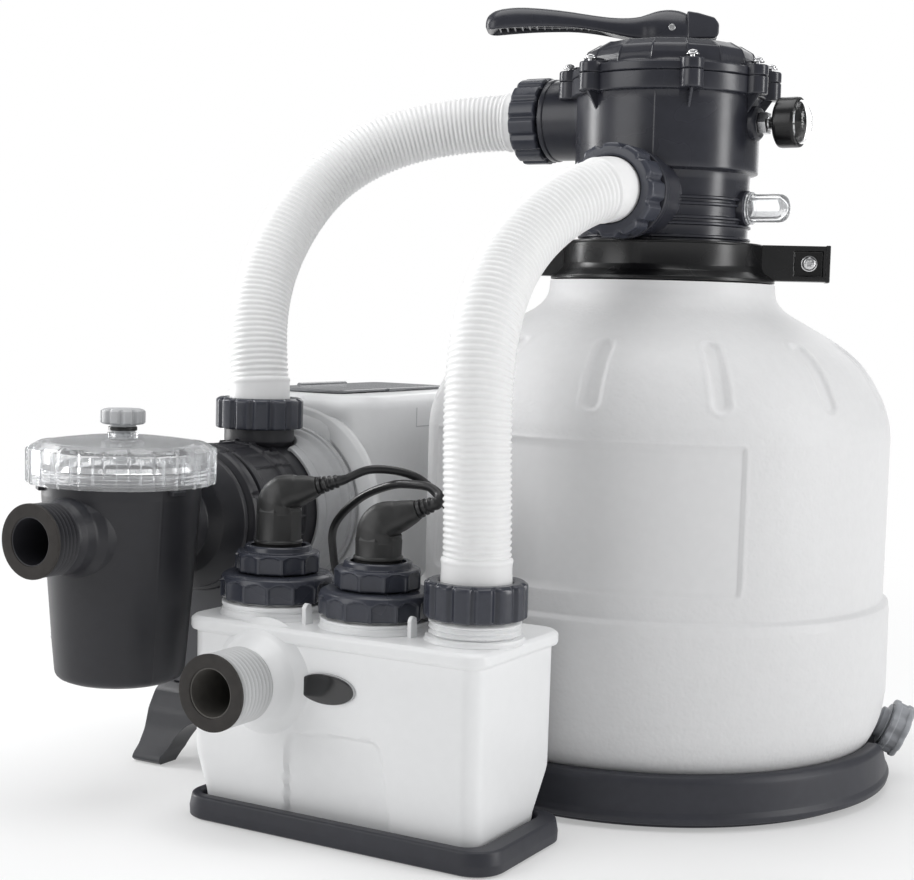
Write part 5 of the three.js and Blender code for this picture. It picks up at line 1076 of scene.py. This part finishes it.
def build_plugs():
    def plug(name, node, dx, z0, zb, az, tilt, path):
        c = np.array([CX + dx, CY, 0.0])
        d = np.array([math.cos(tilt * D2R) * math.cos(az * D2R), math.cos(tilt * D2R) * math.sin(az * D2R), math.sin(tilt * D2R)])
        # seated barrel
        zf = z0 + 23.6
        barrel = fil([(0, zf), ((17.9, zf), .3), ((17.9, z0 + 43.6), .8), ((18.9, z0 + 44.2), .6), ((18.9, z0 + 46), .8), ((17.6, z0 + 47.0), .6), (17.6, zb - 12), (16, zb - 8), (0, zb - 8)], .5, 4)
        def facet(Rr, Zz, TH):
            n = 8
            ph = (TH + math.pi / n) % (2 * math.pi / n) - math.pi / n
            w = np.clip((Zz - (z0 + 47)) / 3, 0, 1) * (Rr > 5)
            return Rr * (1 + (math.cos(math.pi / n) / np.cos(ph) * 1.03 - 1) * w * 0.8), Zz
        b = tf(lathe(barrel, 256, facet), Matrix.Translation(tuple(c)))
        # elbow: upright, then over towards the cable
        p0 = c + np.array([0, 0, zb - 14]); p1 = c + np.array([0, 0, zb + 6]) - d * 3
        cpath = np.vstack([bez([p0, p0 + np.array([0, 0, 11.0]), c + np.array([0, 0, zb]) + d * 1.0 + np.array([0, 0, 2.0]), c + np.array([0, 0, zb]) + d * 17.0], 20), [c + np.array([0, 0, zb]) + d * 27.0, c + np.array([0, 0, zb]) + d * 33.0]])
        Cs, s = resample(cpath, 1.0)
        q = s / s[-1]
        rad = np.interp(q, [0, 0.2, 0.42, 0.62, 0.8, 0.93, 1.0], [17.3, 17.0, 15.4, 12.6, 10.6, 8.8, 7.4])
        def shp(th, i):
            k = 3.2
            v = (np.abs(np.cos(th + math.pi / 4 * 0)) ** k + np.abs(np.sin(th)) ** k) ** (-1 / k)
            w = float(np.interp(q[i], [0, 0.25, 0.5, 1], [0.35, 0.6, 0.8, 0.3]))
            return 1 + (v * 0.92 - 1) * w
        elbow = sweep(Cs, rad, 64, shp)
        P = np.array(path, float)
        cord = np.array(cr([c + np.array([0, 0, zb]) + d * 26] + [tuple(q_) for q_ in P], 14))
        Cc, sc = resample(cord, 0.8)
        # strain relief: four collars over the first part of the cord
        rr = np.full(len(Cc), 3.3)
        st0 = 6.0
        for k in range(4):
            mid = st0 + 3.2 + 4.3 * k
            rr = np.maximum(rr, np.where(np.abs(sc - mid) < 1.45, (6.9 - 0.55 * k) * np.clip((1.6 - np.abs(sc - mid)) / 0.35, 0, 1) ** 0.5, 0))
        core = np.interp(sc, [0, st0 + 18, st0 + 26], [5.6, 4.3, 3.3], right=3.3)
        rr = np.maximum(rr, core)
        cordm = sweep(Cc, rr, 28)
        obj(name + "_skin", join(b, elbow), "plug", R0, [node], angle=38)
        obj(name + "_cord_skin", cordm, "cord", R0, angle=60)
    d1 = (math.cos(16 * D2R) * math.cos(15 * D2R), math.cos(16 * D2R) * math.sin(15 * D2R), math.sin(16 * D2R))
    a1 = np.array([-187.5, -302, 247.0])
    e1 = [tuple(a1 + np.array(d1) * k) for k in (34, 42, 50, 56)]
    plug("electrode_plug", "electrode_plug_cord", EDX, 166.1, 247, 15, 16, e1 + [(-118, -280, 270.5), (-96, -267, 269), (-80, -256, 259), (-64, -241, 234), (-44, -222, 190), (-34, -212, 150), (-34, -212, 70)])
    d2 = (math.cos(22 * D2R) * math.cos(12 * D2R), math.cos(22 * D2R) * math.sin(12 * D2R), math.sin(22 * D2R))
    a2 = np.array([-95, -302, 233.0])
    e2 = [tuple(a2 + np.array(d2) * k) for k in (34, 42, 48)]
    plug("sensor_plug", "sensor_plug_cord", SDX, 162.2, 233, 12, 22, e2 + [(-50.5, -289, 256), (-60, -285, 261), (-76, -281, 262), (-103, -274, 259), (-138, -264, 245), (-168, -253, 220), (-182, -232, 190), (-186, -214, 150), (-186, -213, 70)])
build_plugs()

# ------------------------------------------------------------------ pieces kept from the CAD get their own finish
KEEP = {"standpipe_collector": "dark", "diverter_stem": "dark", "stem_spring": "steel", "impeller": "lgrey", "seal_plate": "black",
        "motor_rotor": "steel", "stator": "copper", "flow_paddle": "amber"}
for n, m in KEEP.items():
    o = NODES[n]
    o.data.materials.clear()
    o.data.materials.append(M[m])
for n, o in NODES.items():
    if n not in KEEP:
        slot_mat = {"control_panel": "lgrey"}.get(n)
        if slot_mat:
            o.data.materials.clear(); o.data.materials.append(M[slot_mat])

# ------------------------------------------------------------------ stage, light, camera
def build_stage():
    me = bpy.data.meshes.new("floor")
    n = 64
    rings = [0.0, 0.4, 0.8, 1.4, 2.4, 4, 8, 16, 40]
    V = [(0, 0, -0.0006)]
    for r in rings[1:]:
        V += [(r * math.cos(2 * math.pi * i / n), r * math.sin(2 * math.pi * i / n), -0.0006) for i in range(n)]
    F = [(0, 1 + i, 1 + (i + 1) % n) for i in range(n)]
    for k in range(len(rings) - 2):
        a, b = 1 + k * n, 1 + (k + 1) * n
        F += [(a + i, b + i, b + (i + 1) % n, a + (i + 1) % n) for i in range(n)]
    me.from_pydata(V, [], F)
    o = bpy.data.objects.new("floor", me)
    bpy.context.scene.collection.objects.link(o)
    m = bpy.data.materials.new("floor_pale"); m.use_nodes = True
    nt = m.node_tree; nt.nodes.clear()
    N, L = nt.nodes.new, nt.links.new
    out = N("ShaderNodeOutputMaterial"); d = N("ShaderNodeBsdfPrincipled"); e = N("ShaderNodeEmission"); mx = N("ShaderNodeMixShader")
    d.inputs["Base Color"].default_value = (0.86, 0.86, 0.86, 1); d.inputs["Roughness"].default_value = 0.6
    d.inputs["Specular IOR Level"].default_value = 0.2
    e.inputs["Color"].default_value = (1, 1, 1, 1); e.inputs["Strength"].default_value = 1.0
    tc = N("ShaderNodeTexCoord"); ln = N("ShaderNodeVectorMath"); ln.operation = "LENGTH"
    mr = N("ShaderNodeMapRange"); mr.interpolation_type = "SMOOTHSTEP"; mr.inputs["From Min"].default_value = 0.35; mr.inputs["From Max"].default_value = 1.5
    mr.inputs["To Min"].default_value = 0.35
    sub = N("ShaderNodeVectorMath"); sub.operation = "SUBTRACT"; sub.inputs[1].default_value = (-0.09, -0.15, 0)
    L(tc.outputs["Object"], sub.inputs[0]); L(sub.outputs["Vector"], ln.inputs[0]); L(ln.outputs["Value"], mr.inputs["Value"])
    L(mr.outputs["Result"], mx.inputs["Fac"]); L(d.outputs["BSDF"], mx.inputs[1]); L(e.outputs["Emission"], mx.inputs[2]); L(mx.outputs["Shader"], out.inputs["Surface"])
    me.materials.append(m)
build_stage()

sc = bpy.context.scene
w = bpy.data.worlds.new("studio"); sc.world = w; w.use_nodes = True
nt = w.node_tree; nt.nodes.clear()
wo = nt.nodes.new("ShaderNodeOutputWorld"); b1 = nt.nodes.new("ShaderNodeBackground"); b2 = nt.nodes.new("ShaderNodeBackground")
lp = nt.nodes.new("ShaderNodeLightPath"); mxs = nt.nodes.new("ShaderNodeMixShader")
b1.inputs["Color"].default_value = (0.97, 0.985, 1.0, 1); b1.inputs["Strength"].default_value = 0.30
b2.inputs["Color"].default_value = (1, 1, 1, 1); b2.inputs["Strength"].default_value = 1.0
nt.links.new(lp.outputs["Is Camera Ray"], mxs.inputs["Fac"]); nt.links.new(b1.outputs["Background"], mxs.inputs[1]); nt.links.new(b2.outputs["Background"], mxs.inputs[2])
nt.links.new(mxs.outputs["Shader"], wo.inputs["Surface"])
sc.view_settings.view_transform = "Standard"
sc.view_settings.look = "None"

def area(name, loc, target, sx, sy, power, color=(1, 1, 1)):
    l = bpy.data.lights.new(name, "AREA"); l.shape = "RECTANGLE"; l.size = sx; l.size_y = sy; l.energy = power; l.color = color
    o = bpy.data.objects.new(name, l)
    o.location = loc
    d = Vector(target) - Vector(loc)
    o.rotation_euler = d.to_track_quat("-Z", "Y").to_euler()
    sc.collection.objects.link(o)
    return o
T0 = (-0.1, -0.1, 0.3)
area("side_left", (-1.95, -0.30, 0.85), T0, 0.45, 1.7, 28)
area("front_left", (-1.15, -2.05, 1.15), T0, 1.5, 1.5, 17.5)
area("top_box", (-0.1, -0.1, 2.1), (-0.1, -0.1, 0.3), 1.6, 1.4, 17)
area("side_right", (1.85, 0.20, 0.75), T0, 0.45, 1.7, 20)
area("back_soft", (-0.5, 2.0, 1.2), T0, 1.8, 1.6, 14)

cam = bpy.data.cameras.new("camera"); cam.sensor_width = 36.0; cam.lens = 1671.07 * 36.0 / 914.0
cam.clip_start = 0.05; cam.clip_end = 100
co = bpy.data.objects.new("camera", cam); sc.collection.objects.link(co)
yaw, pit, rol = 29.62 * D2R, 4.34 * D2R, 1.61 * D2R
f0 = Vector((-math.sin(yaw), math.cos(yaw), 0)); rt = Vector((math.cos(yaw), math.sin(yaw), 0))
fwd = f0 * math.cos(pit) - Vector((0, 0, 1)) * math.sin(pit)
up = Vector((0, 0, 1)) * math.cos(pit) + f0 * math.sin(pit)
r2 = rt * math.cos(rol) + up * math.sin(rol); u2 = up * math.cos(rol) - rt * math.sin(rol)
co.matrix_world = Matrix.Translation((0.57267, -1.36128, 0.39253)) @ Matrix((r2, u2, -fwd)).transposed().to_4x4()
sc.camera = co
